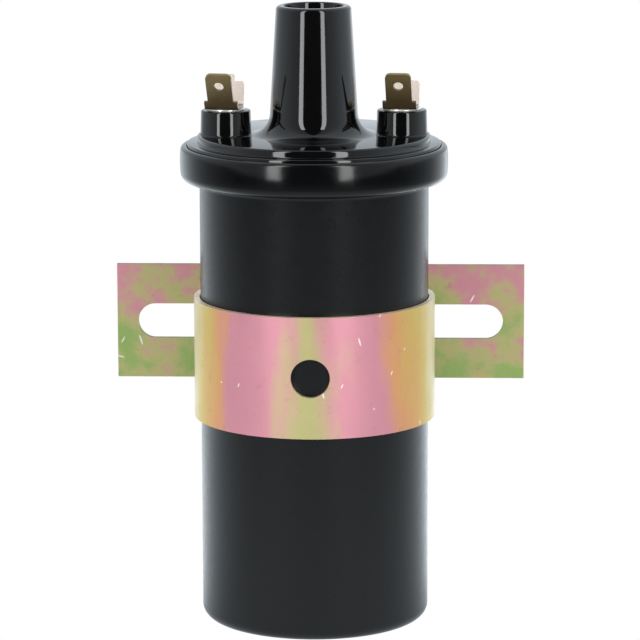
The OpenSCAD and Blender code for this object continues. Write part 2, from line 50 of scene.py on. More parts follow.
def addNode(tree, kind, values=None, **settings):
    node = tree.nodes.new(kind)
    for key, value in settings.items():
        setattr(node, key, value)
    for key, value in (values or {}).items():
        node.inputs[key].default_value = value
    return node


def addRange(tree, value, low, high, fromLow=0.0, fromHigh=1.0):
    node = addNode(tree, "ShaderNodeMapRange", {
        "From Min": fromLow, "From Max": fromHigh, "To Min": low, "To Max": high})
    tree.links.new(value, node.inputs["Value"])
    return node.outputs["Result"]


# camera, light and floor
cameraSetup = {
    "lens": 209.5,          # mm on a 36 mm sensor
    "distance": 0.9,        # from the can's axis, metres
    "height": 0.2507,
    "sideways": 0.00136,
    "azimuth": 2.0,         # degrees, turned to the right of straight on
    "lookDown": 11.09,
    "roll": -0.15,
}

studio = {
    # degrees to the right of the camera's side, and brightness there: the room by itself,
    # then the shine of the floor that only reflections see
    "room": [(-180, 1.0), (-90, 0.9), (-60, 0.6), (-36, 0.45), (-30, 0.03), (24, 0.03),
             (30, 0.45), (60, 0.7), (90, 1.1), (180, 1.0)],
    "shine": [(-180, 0.7), (-168, 0.8), (-156, 1.3), (-140, 1.2), (-116, 0.64), (-99, 0.36),
              (-84, 0.20), (-71, 0.06), (-59, 0.04), (-36, 0.04), (-24, 0.02), (20, 0.02),
              (30, 0.04), (59, 0.04), (71, 0.06), (84, 0.12), (99, 0.26), (116, 0.52),
              (140, 1.25), (156, 1.8), (168, 0.8), (180, 0.7)],
    "peak": 4.0,
    "tint": (0.86, 0.94, 1.0),
    "stripBrightness": 7.0,
    "stripDistance": 1.3,
    "stripSize": (0.26, 2.1),
    "stripMiddle": 0.85,
    "stripAzimuths": (-34.0, 27.0),
    "topBrightness": 1.5,
    "topSize": 1.6,
    "topHeight": 1.5,
    "fillBrightness": 2.6,
    "fillSize": 1.4,
    "fillDistance": 1.7,
    "fillRise": 18.0,
    "floorSize": (6.0, 6.0),
    "floorFront": -0.6,     # the floor ends this far in front of the can
    "floorPale": 0.6,
    "nearGlow": 0.78,       # the floor's extra shine close to the can
    "nearGlowFrom": 0.08, "nearGlowTo": 0.5,
}


def makeCamera(setup):
    turn = Matrix.Rotation(math.radians(setup["azimuth"]), 4, "Z")
    place = Matrix.Translation((setup["sideways"], -setup["distance"], setup["height"]))
    tilt = Matrix.Rotation(math.radians(90 - setup["lookDown"]), 4, "X")
    roll = Matrix.Rotation(math.radians(setup["roll"]), 4, "Z")
    data = bpy.data.cameras.new("camera")
    data.lens = setup["lens"]
    data.sensor_width = 36
    data.clip_start = 0.05
    data.clip_end = 30
    camera = bpy.data.objects.new("camera", data)
    scene.collection.objects.link(camera)
    camera.matrix_world = turn @ place @ tilt @ roll
    scene.camera = camera


def addAreaLight(name, size, brightness, matrix):
    data = bpy.data.lights.new(name, "AREA")
    data.shape = "RECTANGLE"
    data.size = size[0]
    data.size_y = size[1]
    data.energy = brightness * math.pi * size[0] * size[1]  # watts for that brightness
    light = bpy.data.objects.new(name, data)
    light.matrix_world = matrix
    scene.collection.objects.link(light)
    return light


def makeLights(setup, cameraAzimuth):
    for index, azimuth in enumerate(setup["stripAzimuths"]):
        turn = Matrix.Rotation(math.radians(cameraAzimuth + azimuth), 4, "Z")
        place = Matrix.Translation((0, -setup["stripDistance"], setup["stripMiddle"]))
        stand = Matrix.Rotation(math.radians(90), 4, "X")
        addAreaLight(f"strip{index}", setup["stripSize"], setup["stripBrightness"], turn @ place @ stand)
    above = Matrix.Translation((0, 0.2, setup["topHeight"]))
    top = addAreaLight("top", (setup["topSize"], setup["topSize"]), setup["topBrightness"], above)
    top.visible_glossy = False
    turn = Matrix.Rotation(math.radians(cameraAzimuth), 4, "Z")
    rise = Matrix.Rotation(math.radians(90 - setup["fillRise"]), 4, "X")
    away = Matrix.Translation((0, 0, setup["fillDistance"]))
    fill = addAreaLight("fill", (setup["fillSize"], setup["fillSize"]), setup["fillBrightness"],
                        turn @ rise @ away)
    fill.visible_glossy = False


def brightnessAround(tree, vector, stops, peak, cameraAzimuth):
    # a brightness that changes with the direction seen from the object
    link = tree.links.new
    turned = addNode(tree, "ShaderNodeMapping", {"Rotation": (0, 0, math.radians(-cameraAzimuth))})
    split = addNode(tree, "ShaderNodeSeparateXYZ")
    towards = addNode(tree, "ShaderNodeMath", {1: -1.0}, operation="MULTIPLY")
    angle = addNode(tree, "ShaderNodeMath", operation="ARCTAN2")
    ramp = addNode(tree, "ShaderNodeValToRGB")
    while len(ramp.color_ramp.elements) < len(stops):
        ramp.color_ramp.elements.new(0.5)
    for element, (degrees, brightness) in zip(ramp.color_ramp.elements, stops):
        element.position = degrees / 360 + 0.5
        element.color = (*(brightness / peak,) * 3, 1)
    strength = addNode(tree, "ShaderNodeMath", {1: peak}, operation="MULTIPLY")
    link(vector, turned.inputs["Vector"])
    link(turned.outputs["Vector"], split.inputs["Vector"])
    link(split.outputs["Y"], towards.inputs[0])
    link(split.outputs["X"], angle.inputs[0])
    link(towards.outputs["Value"], angle.inputs[1])
    share = addRange(tree, angle.outputs["Value"], 0.0, 1.0, -math.pi, math.pi)
    link(share, ramp.inputs["Fac"])
    link(ramp.outputs["Color"], strength.inputs[0])
    return strength.outputs["Value"]


def chooseByRay(tree, rayKind, otherwise, chosen):
    rays = addNode(tree, "ShaderNodeLightPath")
    mix = addNode(tree, "ShaderNodeMixShader")
    tree.links.new(rays.outputs[rayKind], mix.inputs["Fac"])
    tree.links.new(otherwise, mix.inputs[1])
    tree.links.new(chosen, mix.inputs[2])
    return mix.outputs["Shader"]


def makeWorld(setup, cameraAzimuth):
    world = bpy.data.worlds.new("room")
    world.use_nodes = True
    scene.world = world
    tree = world.node_tree
    tree.nodes.clear()
    out = addNode(tree, "ShaderNodeOutputWorld")
    room = addNode(tree, "ShaderNodeBackground", {"Color": (*setup["tint"], 1)})
    plain = addNode(tree, "ShaderNodeBackground", {"Color": (1, 1, 1, 1)})
    direction = addNode(tree, "ShaderNodeTexCoord")
    strength = brightnessAround(tree, direction.outputs["Generated"], setup["room"],
                                setup["peak"], cameraAzimuth)
    tree.links.new(strength, room.inputs["Strength"])
    mix = chooseByRay(tree, "Is Camera Ray", room.outputs["Background"],
                      plain.outputs["Background"])
    tree.links.new(mix, out.inputs["Surface"])


def makeFloor(setup, cameraAzimuth):
    bm = bmesh.new()
    bmesh.ops.create_grid(bm, x_segments=1, y_segments=1, size=0.5)
    bmesh.ops.scale(bm, vec=(*setup["floorSize"], 1), verts=bm.verts)
    middle = setup["floorFront"] + setup["floorSize"][1] / 2
    bmesh.ops.translate(bm, vec=(0, middle, -0.0002), verts=bm.verts)
    mesh = bpy.data.meshes.new("floor")
    bm.to_mesh(mesh)
    bm.free()
    floor = bpy.data.objects.new("floor", mesh)
    scene.collection.objects.link(floor)
    paper = bpy.data.materials.new("paleFloor")
    paper.use_nodes = True
    paper.cycles.emission_sampling = "NONE"
    tree = paper.node_tree
    link = tree.links.new
    shader = tree.nodes["Principled BSDF"]
    shader.inputs["Base Color"].default_value = (*(setup["floorPale"],) * 3, 1)
    shader.inputs["Roughness"].default_value = 0.9
    shader.inputs["Specular IOR Level"].default_value = 0.1
    place = addNode(tree, "ShaderNodeTexCoord")
    around = brightnessAround(tree, place.outputs["Object"], setup["shine"], setup["peak"],
                              cameraAzimuth)
    away = addNode(tree, "ShaderNodeVectorMath", operation="LENGTH")
    link(place.outputs["Object"], away.inputs[0])
    near = addRange(tree, away.outputs["Value"], setup["nearGlow"], 0.0,
                    setup["nearGlowFrom"], setup["nearGlowTo"])
    both = addNode(tree, "ShaderNodeMath")
    link(around, both.inputs[0])
    link(near, both.inputs[1])
    shine = addNode(tree, "ShaderNodeEmission", {"Color": (*setup["tint"], 1)})
    link(both.outputs["Value"], shine.inputs["Strength"])
    glow = addNode(tree, "ShaderNodeEmission")
    reflected = chooseByRay(tree, "Is Glossy Ray", shader.outputs["BSDF"],
                            shine.outputs["Emission"])
    seen = chooseByRay(tree, "Is Camera Ray", reflected, glow.outputs["Emission"])
    link(seen, tree.nodes["Material Output"].inputs["Surface"])
    mesh.materials.append(paper)


makeCamera(cameraSetup)
makeLights(studio, cameraSetup["azimuth"])
makeWorld(studio, cameraSetup["azimuth"])
makeFloor(studio, cameraSetup["azimuth"])
scene.view_settings.view_transform = "Standard"
print("camera, lights and floor are ready")


# shader groups shared by several materials
def newGroup(name, inputs, outputs):
    group = bpy.data.node_groups.new(name, "ShaderNodeTree")
    for label, kind, value in inputs:
        socket = group.interface.new_socket(name=label, in_out="INPUT", socket_type=kind)
        if value is not None:
            socket.default_value = value
    for label, kind in outputs:
        group.interface.new_socket(name=label, in_out="OUTPUT", socket_type=kind)
    source = group.nodes.new("NodeGroupInput")
    sink = group.nodes.new("NodeGroupOutput")
    return group, source, sink


def makeGrainGroup():
    # fine and coarse unevenness of a surface, as a height and a mask
    group, source, sink = newGroup(
        "surfaceGrain",
        [("Vector", "NodeSocketVector", None), ("Fine Scale", "NodeSocketFloat", 900.0),
         ("Coarse Scale", "NodeSocketFloat", 90.0), ("Fine Share", "NodeSocketFloat", 0.5)],
        [("Height", "NodeSocketFloat"), ("Mask", "NodeSocketFloat")])
    fine = addNode(group, "ShaderNodeTexNoise", {"Detail": 4.0, "Roughness": 0.6})
    coarse = addNode(group, "ShaderNodeTexNoise", {"Detail": 3.0, "Roughness": 0.5})
    blend = addNode(group, "ShaderNodeMix", data_type="FLOAT")
    link = group.links.new
    link(source.outputs["Vector"], fine.inputs["Vector"])
    link(source.outputs["Vector"], coarse.inputs["Vector"])
    link(source.outputs["Fine Scale"], fine.inputs["Scale"])
    link(source.outputs["Coarse Scale"], coarse.inputs["Scale"])
    link(source.outputs["Fine Share"], blend.inputs["Factor"])
    link(coarse.outputs["Fac"], blend.inputs["A"])
    link(fine.outputs["Fac"], blend.inputs["B"])
    link(blend.outputs["Result"], sink.inputs["Height"])
    link(coarse.outputs["Fac"], sink.inputs["Mask"])
    return group


def makeScratchGroup():
    # short thin marks in one direction: long narrow cells, most of them left out
    group, source, sink = newGroup(
        "fineScratches",
        [("Vector", "NodeSocketVector", None), ("Tilt", "NodeSocketFloat", 0.0),
         ("Width", "NodeSocketFloat", 0.05), ("Amount", "NodeSocketFloat", 0.1)],
        [("Mask", "NodeSocketFloat")])
    link = group.links.new
    turn = addNode(group, "ShaderNodeVectorRotate", rotation_type="Y_AXIS")
    narrow = addNode(group, "ShaderNodeMapping", {"Scale": (420.0, 420.0, 70.0)})
    cells = addNode(group, "ShaderNodeTexVoronoi", {"Scale": 1.0}, feature="F1")
    thin = addNode(group, "ShaderNodeMath", operation="LESS_THAN")
    limit = addNode(group, "ShaderNodeMath", {0: 1.0}, operation="SUBTRACT")
    pick = addNode(group, "ShaderNodeSeparateColor")
    here = addNode(group, "ShaderNodeMath", operation="GREATER_THAN")
    both = addNode(group, "ShaderNodeMath", operation="MULTIPLY")
    link(source.outputs["Vector"], turn.inputs["Vector"])
    link(source.outputs["Tilt"], turn.inputs["Angle"])
    link(turn.outputs["Vector"], narrow.inputs["Vector"])
    link(narrow.outputs["Vector"], cells.inputs["Vector"])
    link(cells.outputs["Distance"], thin.inputs[0])
    link(source.outputs["Width"], thin.inputs[1])
    link(cells.outputs["Color"], pick.inputs["Color"])
    link(source.outputs["Amount"], limit.inputs[1])
    link(pick.outputs["Red"], here.inputs[0])
    link(limit.outputs["Value"], here.inputs[1])
    link(thin.outputs["Value"], both.inputs[0])
    link(here.outputs["Value"], both.inputs[1])
    link(both.outputs["Value"], sink.inputs["Mask"])
    return group


grainGroup = makeGrainGroup()
scratchGroup = makeScratchGroup()


def newMaterial(name):
    material = bpy.data.materials.new(name)
    material.use_nodes = True
    tree = material.node_tree
    shader = tree.nodes["Principled BSDF"]
    place = addNode(tree, "ShaderNodeTexCoord")
    return material, tree, shader, place.outputs["Object"]


def addGroup(tree, group, values, vector):
    node = addNode(tree, "ShaderNodeGroup", node_tree=group)
    for key, value in values.items():
        node.inputs[key].default_value = value
    tree.links.new(vector, node.inputs["Vector"])
    return node


def addRamp(tree, stops, value, smooth=True):
    ramp = addNode(tree, "ShaderNodeValToRGB")
    ramp.color_ramp.interpolation = "EASE" if smooth else "LINEAR"
    elements = ramp.color_ramp.elements
    while len(elements) < len(stops):
        elements.new(0.5)
    for element, (position, colour) in zip(elements, stops):
        element.position = position
        element.color = (*colour, 1)
    tree.links.new(value, ramp.inputs["Fac"])
    return ramp.outputs["Color"]


def addBump(tree, shader, height, strength, distance):
    bump = addNode(tree, "ShaderNodeBump", {"Strength": strength, "Distance": distance})
    tree.links.new(height, bump.inputs["Height"])
    tree.links.new(bump.outputs["Normal"], shader.inputs["Normal"])


def mixColours(tree, factor, first, second, blendType="MIX"):
    node = addNode(tree, "ShaderNodeMix", data_type="RGBA", blend_type=blendType)
    for value, socket in ((factor, node.inputs["Factor"]), (first, node.inputs["A"]),
                          (second, node.inputs["B"])):
        if isinstance(value, (int, float)):
            socket.default_value = value
        elif isinstance(value, tuple):
            socket.default_value = (*value, 1)
        else:
            tree.links.new(value, socket)
    return node.outputs["Result"]


def stretch(tree, vector, scale):
    node = addNode(tree, "ShaderNodeMapping", {"Scale": scale})
    tree.links.new(vector, node.inputs["Vector"])
    return node.outputs["Vector"]


def makePlainMaterial(name, look):
    # one finish with mottled colour, uneven roughness and a fine bump
    material, tree, shader, place = newMaterial(name)
    grain = addGroup(tree, grainGroup, {
        "Fine Scale": look["fineScale"], "Coarse Scale": look["coarseScale"]}, place)
    colour = mixColours(tree, grain.outputs["Mask"], look["colour"], look["colourToo"])
    tree.links.new(colour, shader.inputs["Base Color"])
    rough = addRange(tree, grain.outputs["Mask"], *look["roughness"], 0.3, 0.7)
    tree.links.new(rough, shader.inputs["Roughness"])
    shader.inputs["Metallic"].default_value = look.get("metallic", 0.0)
    shader.inputs["Specular IOR Level"].default_value = look.get("specular", 0.5)
    addBump(tree, shader, grain.outputs["Height"], look["bump"], look["bumpDepth"])
    return material


plainLooks = {
    "capMoulding": {"colour": (0.0012, 0.0012, 0.0013), "colourToo": (0.002, 0.002, 0.0021),
                    "roughness": (0.04, 0.08), "fineScale": 500.0, "coarseScale": 120.0,
                    "bump": 0.035, "bumpDepth": 0.0002, "specular": 0.5},
    "blackRubber": {"colour": (0.012, 0.012, 0.012), "colourToo": (0.02, 0.02, 0.02),
                    "roughness": (0.6, 0.75), "fineScale": 1800.0, "coarseScale": 200.0,
                    "bump": 0.3, "bumpDepth": 0.0002},
    "contactBrass": {"colour": (0.72, 0.52, 0.22), "colourToo": (0.62, 0.42, 0.18),
                     "roughness": (0.22, 0.38), "fineScale": 2500.0, "coarseScale": 150.0,
                     "bump": 0.1, "bumpDepth": 0.0001, "metallic": 1.0},
    "brightSteel": {"colour": (0.60, 0.60, 0.62), "colourToo": (0.48, 0.48, 0.5),
                    "roughness": (0.25, 0.42), "fineScale": 2500.0, "coarseScale": 180.0,
                    "bump": 0.12, "bumpDepth": 0.0001, "metallic": 1.0},
    "tinPlate": {"colour": (0.86, 0.85, 0.81), "colourToo": (0.76, 0.74, 0.70),
                 "roughness": (0.22, 0.34), "fineScale": 2500.0, "coarseScale": 260.0,
                 "bump": 0.1, "bumpDepth": 0.0001, "metallic": 0.6},
    "coreIron": {"colour": (0.22, 0.22, 0.23), "colourToo": (0.14, 0.13, 0.13),
                 "roughness": (0.4, 0.6), "fineScale": 1500.0, "coarseScale": 120.0,
                 "bump": 0.15, "bumpDepth": 0.0002, "metallic": 0.9},
    "pressboard": {"colour": (0.34, 0.20, 0.09), "colourToo": (0.24, 0.13, 0.055),
                   "roughness": (0.5, 0.7), "fineScale": 1600.0, "coarseScale": 140.0,
                   "bump": 0.3, "bumpDepth": 0.0002},
    "kraftPaper": {"colour": (0.52, 0.34, 0.16), "colourToo": (0.38, 0.23, 0.10),
                   "roughness": (0.55, 0.75), "fineScale": 1400.0, "coarseScale": 90.0,
                   "bump": 0.35, "bumpDepth": 0.0002},
    "footCeramic": {"colour": (0.74, 0.70, 0.60), "colourToo": (0.66, 0.61, 0.51),
                    "roughness": (0.35, 0.55), "fineScale": 1200.0, "coarseScale": 80.0,
                    "bump": 0.2, "bumpDepth": 0.0002},
    "leadSleeving": {"colour": (0.26, 0.035, 0.02), "colourToo": (0.18, 0.02, 0.015),
                     "roughness": (0.35, 0.5), "fineScale": 2200.0, "coarseScale": 300.0,
                     "bump": 0.3, "bumpDepth": 0.0001},
    "fastenerZinc": {"colour": (0.70, 0.58, 0.30), "colourToo": (0.60, 0.50, 0.36),
                     "roughness": (0.25, 0.4), "fineScale": 1800.0, "coarseScale": 220.0,
                     "bump": 0.12, "bumpDepth": 0.0001, "metallic": 1.0},
    "terminalBrass": {"colour": (0.80, 0.67, 0.38), "colourToo": (0.62, 0.46, 0.28),
                      "roughness": (0.16, 0.26), "fineScale": 2200.0, "coarseScale": 260.0,
                      "bump": 0.12, "bumpDepth": 0.0001, "metallic": 1.0},
}
materials = {name: makePlainMaterial(name, look) for name, look in plainLooks.items()}


canLook = {
    "colour": (0.0014, 0.0016, 0.0018),
    "specular": 0.38,
    "bodyRoughness": (0.26, 0.31),
    "rimRoughness": (0.13, 0.17),
    "rimFrom": 0.108,       # metres; the rolled rim is smoother than the body
}


def makeCanMaterial(look):
    material, tree, shader, place = newMaterial("canPaint")
    link = tree.links.new
    grain = addGroup(tree, grainGroup, {
        "Fine Scale": 1400.0, "Coarse Scale": 420.0, "Fine Share": 0.3}, place)
    split = addNode(tree, "ShaderNodeSeparateXYZ")
    link(place, split.inputs["Vector"])
    atRim = addRange(tree, split.outputs["Z"], 0.0, 1.0, look["rimFrom"], look["rimFrom"] + 0.002)
    body = addRange(tree, grain.outputs["Mask"], *look["bodyRoughness"], 0.3, 0.7)
    rim = addRange(tree, grain.outputs["Mask"], *look["rimRoughness"], 0.3, 0.7)
    rough = addNode(tree, "ShaderNodeMix", data_type="FLOAT")
    link(atRim, rough.inputs["Factor"])
    link(body, rough.inputs["A"])
    link(rim, rough.inputs["B"])
    link(rough.outputs["Result"], shader.inputs["Roughness"])
    dust = addNode(tree, "ShaderNodeTexNoise", {"Scale": 1100.0, "Detail": 2.0})
    link(place, dust.inputs["Vector"])
    specks = addRange(tree, dust.outputs["Fac"], 0.0, 0.5, 0.76, 0.84)
    colour = mixColours(tree, specks, look["colour"], (0.02, 0.02, 0.022))
    link(colour, shader.inputs["Base Color"])
    shader.inputs["Specular IOR Level"].default_value = look["specular"]
    addBump(tree, shader, grain.outputs["Height"], 0.10, 0.0001)
    return material


materials["canPaint"] = makeCanMaterial(canLook)
print("plain materials are ready")


# mesh helpers
def addChain(bm, points):
    verts = [bm.verts.new(point) for point in points]
    edges = [bm.edges.new(pair) for pair in zip(verts, verts[1:])]
    return verts, edges


def turnChain(bm, points, closed, steps):
    # a chain of (radius, height) corners spun once round Z
    verts, edges = addChain(bm, [(radius * mm, 0, height * mm) for radius, height in points])
    if closed:
        edges.append(bm.edges.new((verts[-1], verts[0])))
    bmesh.ops.spin(bm, geom=verts + edges, cent=(0, 0, 0), axis=(0, 0, 1),
                   angle=fullTurn, steps=steps, use_merge=True)
    bmesh.ops.remove_doubles(bm, verts=bm.verts, dist=2e-6)
    bmesh.ops.recalc_face_normals(bm, faces=bm.faces)


def roundRing(bm, radius, height, edgeRadius, segments=4):
    # rounds the ring of edges at one corner of a spun profile
    def isThere(vert):
        far = math.hypot(vert.co.x, vert.co.y) - radius * mm
        return abs(far) < 2e-5 and abs(vert.co.z - height * mm) < 2e-5
    ring = [edge for edge in bm.edges if isThere(edge.verts[0]) and isThere(edge.verts[1])]
    bmesh.ops.bevel(bm, geom=ring, offset=edgeRadius * mm, offset_type="OFFSET",
                    segments=segments, profile=0.5, affect="EDGES", material=-1,
                    clamp_overlap=True)


def markSharp(bm, angle):
    for face in bm.faces:
        face.smooth = True
    for edge in bm.edges:
        edge.smooth = len(edge.link_faces) == 2 and edge.calc_face_angle(0) < math.radians(angle)


def toObject(name, bm, angle=35.0):
    bmesh.ops.recalc_face_normals(bm, faces=bm.faces)
    markSharp(bm, angle)
    mesh = bpy.data.meshes.new(name)
    bm.to_mesh(mesh)
    bm.free()
    piece = bpy.data.objects.new(name, mesh)
    scene.collection.objects.link(piece)
    return piece


def addPiece(piece, node, body, slotName, *finishes):
    piece.data.materials.clear()
    for finish in finishes:
        piece.data.materials.append(finish)
    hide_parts(node)
    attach(piece, body)
    low = Vector([min(corner[i] for corner in piece.bound_box) for i in range(3)])
    high = Vector([max(corner[i] for corner in piece.bound_box) for i in range(3)])
    cadLow, cadHigh = (Vector(corner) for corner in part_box(node))
    gaps = [round(value / mm, 2) for value in (*(low - cadLow), *(high - cadHigh))]
    print(f"{piece.name}: {len(piece.data.polygons)} faces, off the solid by {gaps} mm")


def evenShading(piece):
    # large flat faces keep their own normals, so that rounded edges shade cleanly
    change = piece.modifiers.new("shading", "WEIGHTED_NORMAL")
    change.keep_sharp = True
    bake(piece)


def bake(piece):
    # the piece's modifiers become its mesh
    bpy.context.view_layer.update()
    graph = bpy.context.evaluated_depsgraph_get()
    mesh = bpy.data.meshes.new_from_object(piece.evaluated_get(graph))
    piece.modifiers.clear()
    old = piece.data
    piece.data = mesh
    bpy.data.meshes.remove(old)


def combine(piece, other, operation):
    change = piece.modifiers.new("combine", "BOOLEAN")
    change.operation = operation
    change.object = other
    change.solver = "EXACT"
    bake(piece)
    mesh = other.data
    bpy.data.objects.remove(other)
    bpy.data.meshes.remove(mesh)


def cleanUp(piece, angle=35.0, mergeDistance=1e-6):
    bm = bmesh.new()
    bm.from_mesh(piece.data)
    bmesh.ops.remove_doubles(bm, verts=bm.verts, dist=mergeDistance)
    bmesh.ops.dissolve_degenerate(bm, edges=bm.edges, dist=mergeDistance)
    bmesh.ops.recalc_face_normals(bm, faces=bm.faces)
    markSharp(bm, angle)
    bm.to_mesh(piece.data)
    bm.free()


def softenEdges(piece, width, segments=2, angle=40.0):
    change = piece.modifiers.new("soften", "BEVEL")
    change.width = width * mm
    change.segments = segments
    change.limit_method = "ANGLE"
    change.angle_limit = math.radians(angle)
    change.use_clamp_overlap = True
    change.miter_outer = "MITER_ARC"
    bake(piece)


def turnedTool(points, matrix, steps=48):
    # a closed turned solid used to cut or to add
    bm = bmesh.new()
    turnChain(bm, points, False, steps)
    bmesh.ops.transform(bm, matrix=matrix, verts=bm.verts)
    return toObject("tool", bm)


def rod(radius, low, high):
    return [(0, low), (radius, low), (radius, high), (0, high)]


# can
canShape = {
    "outside": [(0, 0), (28, 0), (28, 109.4), (32.6, 109.4), (32.6, 118), (31.1, 118)],
    "inside": [(31.1, 117.4), (32, 117.4), (32, 110), (27.4, 110), (27.4, 0.6), (0, 0.6)],
    "rounds": [(28, 0, 3.0, 8), (28, 109.4, 1.2, 4), (32.6, 109.4, 2.2, 8), (32.6, 118, 1.0, 6),
               (32, 117.4, 0.4, 2), (32, 110, 1.6, 4), (27.4, 110, 1.8, 4), (27.4, 0.6, 2.4, 4),
               (31.1, 118, 0.2, 2), (31.1, 117.4, 0.15, 2)],
    "steps": 144,
    "crown": 0.12,          # the rim's wall bulges by this much
}


def makeCan(shape):
    bm = bmesh.new()
    turnChain(bm, shape["outside"] + shape["inside"], False, shape["steps"])
    for radius, height, edgeRadius, segments in shape["rounds"]:
        roundRing(bm, radius, height, edgeRadius, segments)
    wall = [edge for edge in bm.edges
            if abs(edge.verts[0].co.z - edge.verts[1].co.z) > 4 * mm
            and min(vert.co.z for vert in edge.verts) > 111 * mm]
    bmesh.ops.subdivide_edges(bm, edges=wall, cuts=5, use_grid_fill=True)
    for vert in bm.verts:
        height = (vert.co.z / mm - 111.6) / (117.0 - 111.6)
        if 0 < height < 1 and math.hypot(vert.co.x, vert.co.y) > 31.5 * mm:
            bulge = 1 + shape["crown"] / 32.6 * math.sin(math.pi * height)
            vert.co.x *= bulge
            vert.co.y *= bulge
    can = toObject("canShell", bm)
    addPiece(can, "can", "coil", "can_paint", materials["canPaint"])


makeCan(canShape)


# insulator cap with its tower and posts
capShape = {
    "turn": 2.0,            # degrees, posts turned with the cap
    "section": [(7.2, 152), (9.1, 152), (11.0, 120.6), (28.5, 120.6), (28.5, 118.7),
                (31.0, 118.7), (31.0, 117.4), (31.9, 117.4), (31.9, 112.2), (27, 112.2),
                (27, 106.2), (24, 106.2), (24, 116), (7.5, 116), (7.5, 104.2), (4, 104.2),
                (4, 113), (5, 113), (5, 124), (7.2, 124)],
    "rounds": [(9.1, 152, 0.9, 5), (7.2, 152, 0.35, 3), (11.0, 120.6, 5.0, 10),
               (28.5, 120.6, 0.7, 5), (28.5, 118.7, 0.3, 3), (31.0, 118.7, 0.35, 3),
               (31.9, 117.4, 0.45, 2), (7.5, 104.2, 0.4, 2), (24, 106.2, 0.5, 2),
               (27, 106.2, 0.5, 2), (7.2, 124, 0.4, 2)],
    "steps": 144,
    "postReach": 21.45,
    "post": [(0, 119.6), (6.5, 119.6), (6.5, 120.61), (6.21, 120.9), (6.05, 126.6), (0, 126.6)],
    "postRounds": [(6.21, 120.9, 0.2, 3), (6.05, 126.6, 0.45, 4)],
    "holeRadius": 2.1,
    "pocketRadius": 4.5,
    "pocketTop": 116,
}


def postMatrix(side):
    turn = Matrix.Rotation(math.radians(capShape["turn"]), 4, "Z")
    return turn @ Matrix.Translation((side * capShape["postReach"] * mm, 0, 0))


def makeCap(shape):
    bm = bmesh.new()
    turnChain(bm, shape["section"], True, shape["steps"])
    for radius, height, edgeRadius, segments in shape["rounds"]:
        roundRing(bm, radius, height, edgeRadius, segments)
    cap = toObject("capMoulding", bm)
    for side in (-1, 1):
        bm = bmesh.new()
        turnChain(bm, shape["post"], False, 96)
        for radius, height, edgeRadius, segments in shape["postRounds"]:
            roundRing(bm, radius, height, edgeRadius, segments)
        bmesh.ops.transform(bm, matrix=postMatrix(side), verts=bm.verts)
        combine(cap, toObject("tool", bm), "UNION")
        hole = turnedTool(rod(shape["holeRadius"], 105, 128), postMatrix(side))
        combine(cap, hole, "DIFFERENCE")
        pocket = turnedTool(rod(shape["pocketRadius"], 105, shape["pocketTop"]), postMatrix(side))
        combine(cap, pocket, "DIFFERENCE")
    cleanUp(cap)
    addPiece(cap, "insulator_cap", "coil", "cap_moulding", materials["capMoulding"])


makeCap(capShape)


# mounting strap: a band round the can, two legs and two slotted ears
strapShape = {
    "low": 50.9, "high": 80.5, "rows": 16,
    "thickness": 1.4,
    "bandRadius": 28.9,      # to the middle of the sheet
    "bendX": 5.4, "bendLowY": 30.63, "bendHighY": 40.93, "bendRadius": 2.2,
    "earReach": 52.4,
    "slotX": 35.0, "slotLength": 24.0, "slotHeight": 9.0, "middle": 65.7,
    "frontHole": 4.7, "screwHole": 2.8, "screwY": 35.78,
    "edgeRound": 0.16,
}


def extrudeEdges(bm, edges, move, steps=1):
    for _ in range(steps):
        result = bmesh.ops.extrude_edge_only(bm, edges=edges)
        verts = [item for item in result["geom"] if isinstance(item, bmesh.types.BMVert)]
        edges = [item for item in result["geom"] if isinstance(item, bmesh.types.BMEdge)]
        bmesh.ops.translate(bm, vec=Vector(move) * mm / steps, verts=verts)
    return edges


def spinEdges(bm, edges, centre, axis, angle, steps):
    verts = list({vert for edge in edges for vert in edge.verts})
    result = bmesh.ops.spin(bm, geom=verts + list(edges), cent=Vector(centre) * mm, axis=axis,
                            angle=math.radians(angle), steps=steps)
    return [item for item in result["geom_last"] if isinstance(item, bmesh.types.BMEdge)]


def addMirrored(bm):
    bmesh.ops.mirror(bm, geom=bm.verts[:] + bm.edges[:] + bm.faces[:], axis="X",
                     merge_dist=1e-6)
    bmesh.ops.remove_doubles(bm, verts=bm.verts, dist=2e-6)


def thicken(piece, thickness, offset=0.0):
    change = piece.modifiers.new("thicken", "SOLIDIFY")
    change.thickness = thickness * mm
    change.offset = offset
    change.use_even_offset = True
    change.use_quality_normals = True
    bake(piece)


def sheetNormal(shape, point):
    # the direction through the strap's sheet near a point
    x = abs(point.x) / mm
    y = point.y / mm
    side = 1 if point.x > 0 else -1
    if y > shape["bendHighY"] and x > shape["bendX"]:
        return Vector((0, 1, 0))
    if y > shape["bendHighY"]:
        return Vector((side * (x - shape["bendX"]), y - shape["bendHighY"], 0)).normalized()
    if y > shape["bendLowY"] and x < shape["bendX"]:
        return Vector((1, 0, 0))
    if math.hypot(x - shape["bendX"], y - shape["bendLowY"]) < 3.3 and x < shape["bendX"]:
        return Vector((side * (x - shape["bendX"]), y - shape["bendLowY"], 0)).normalized()
    return Vector((point.x, point.y, 0)).normalized()


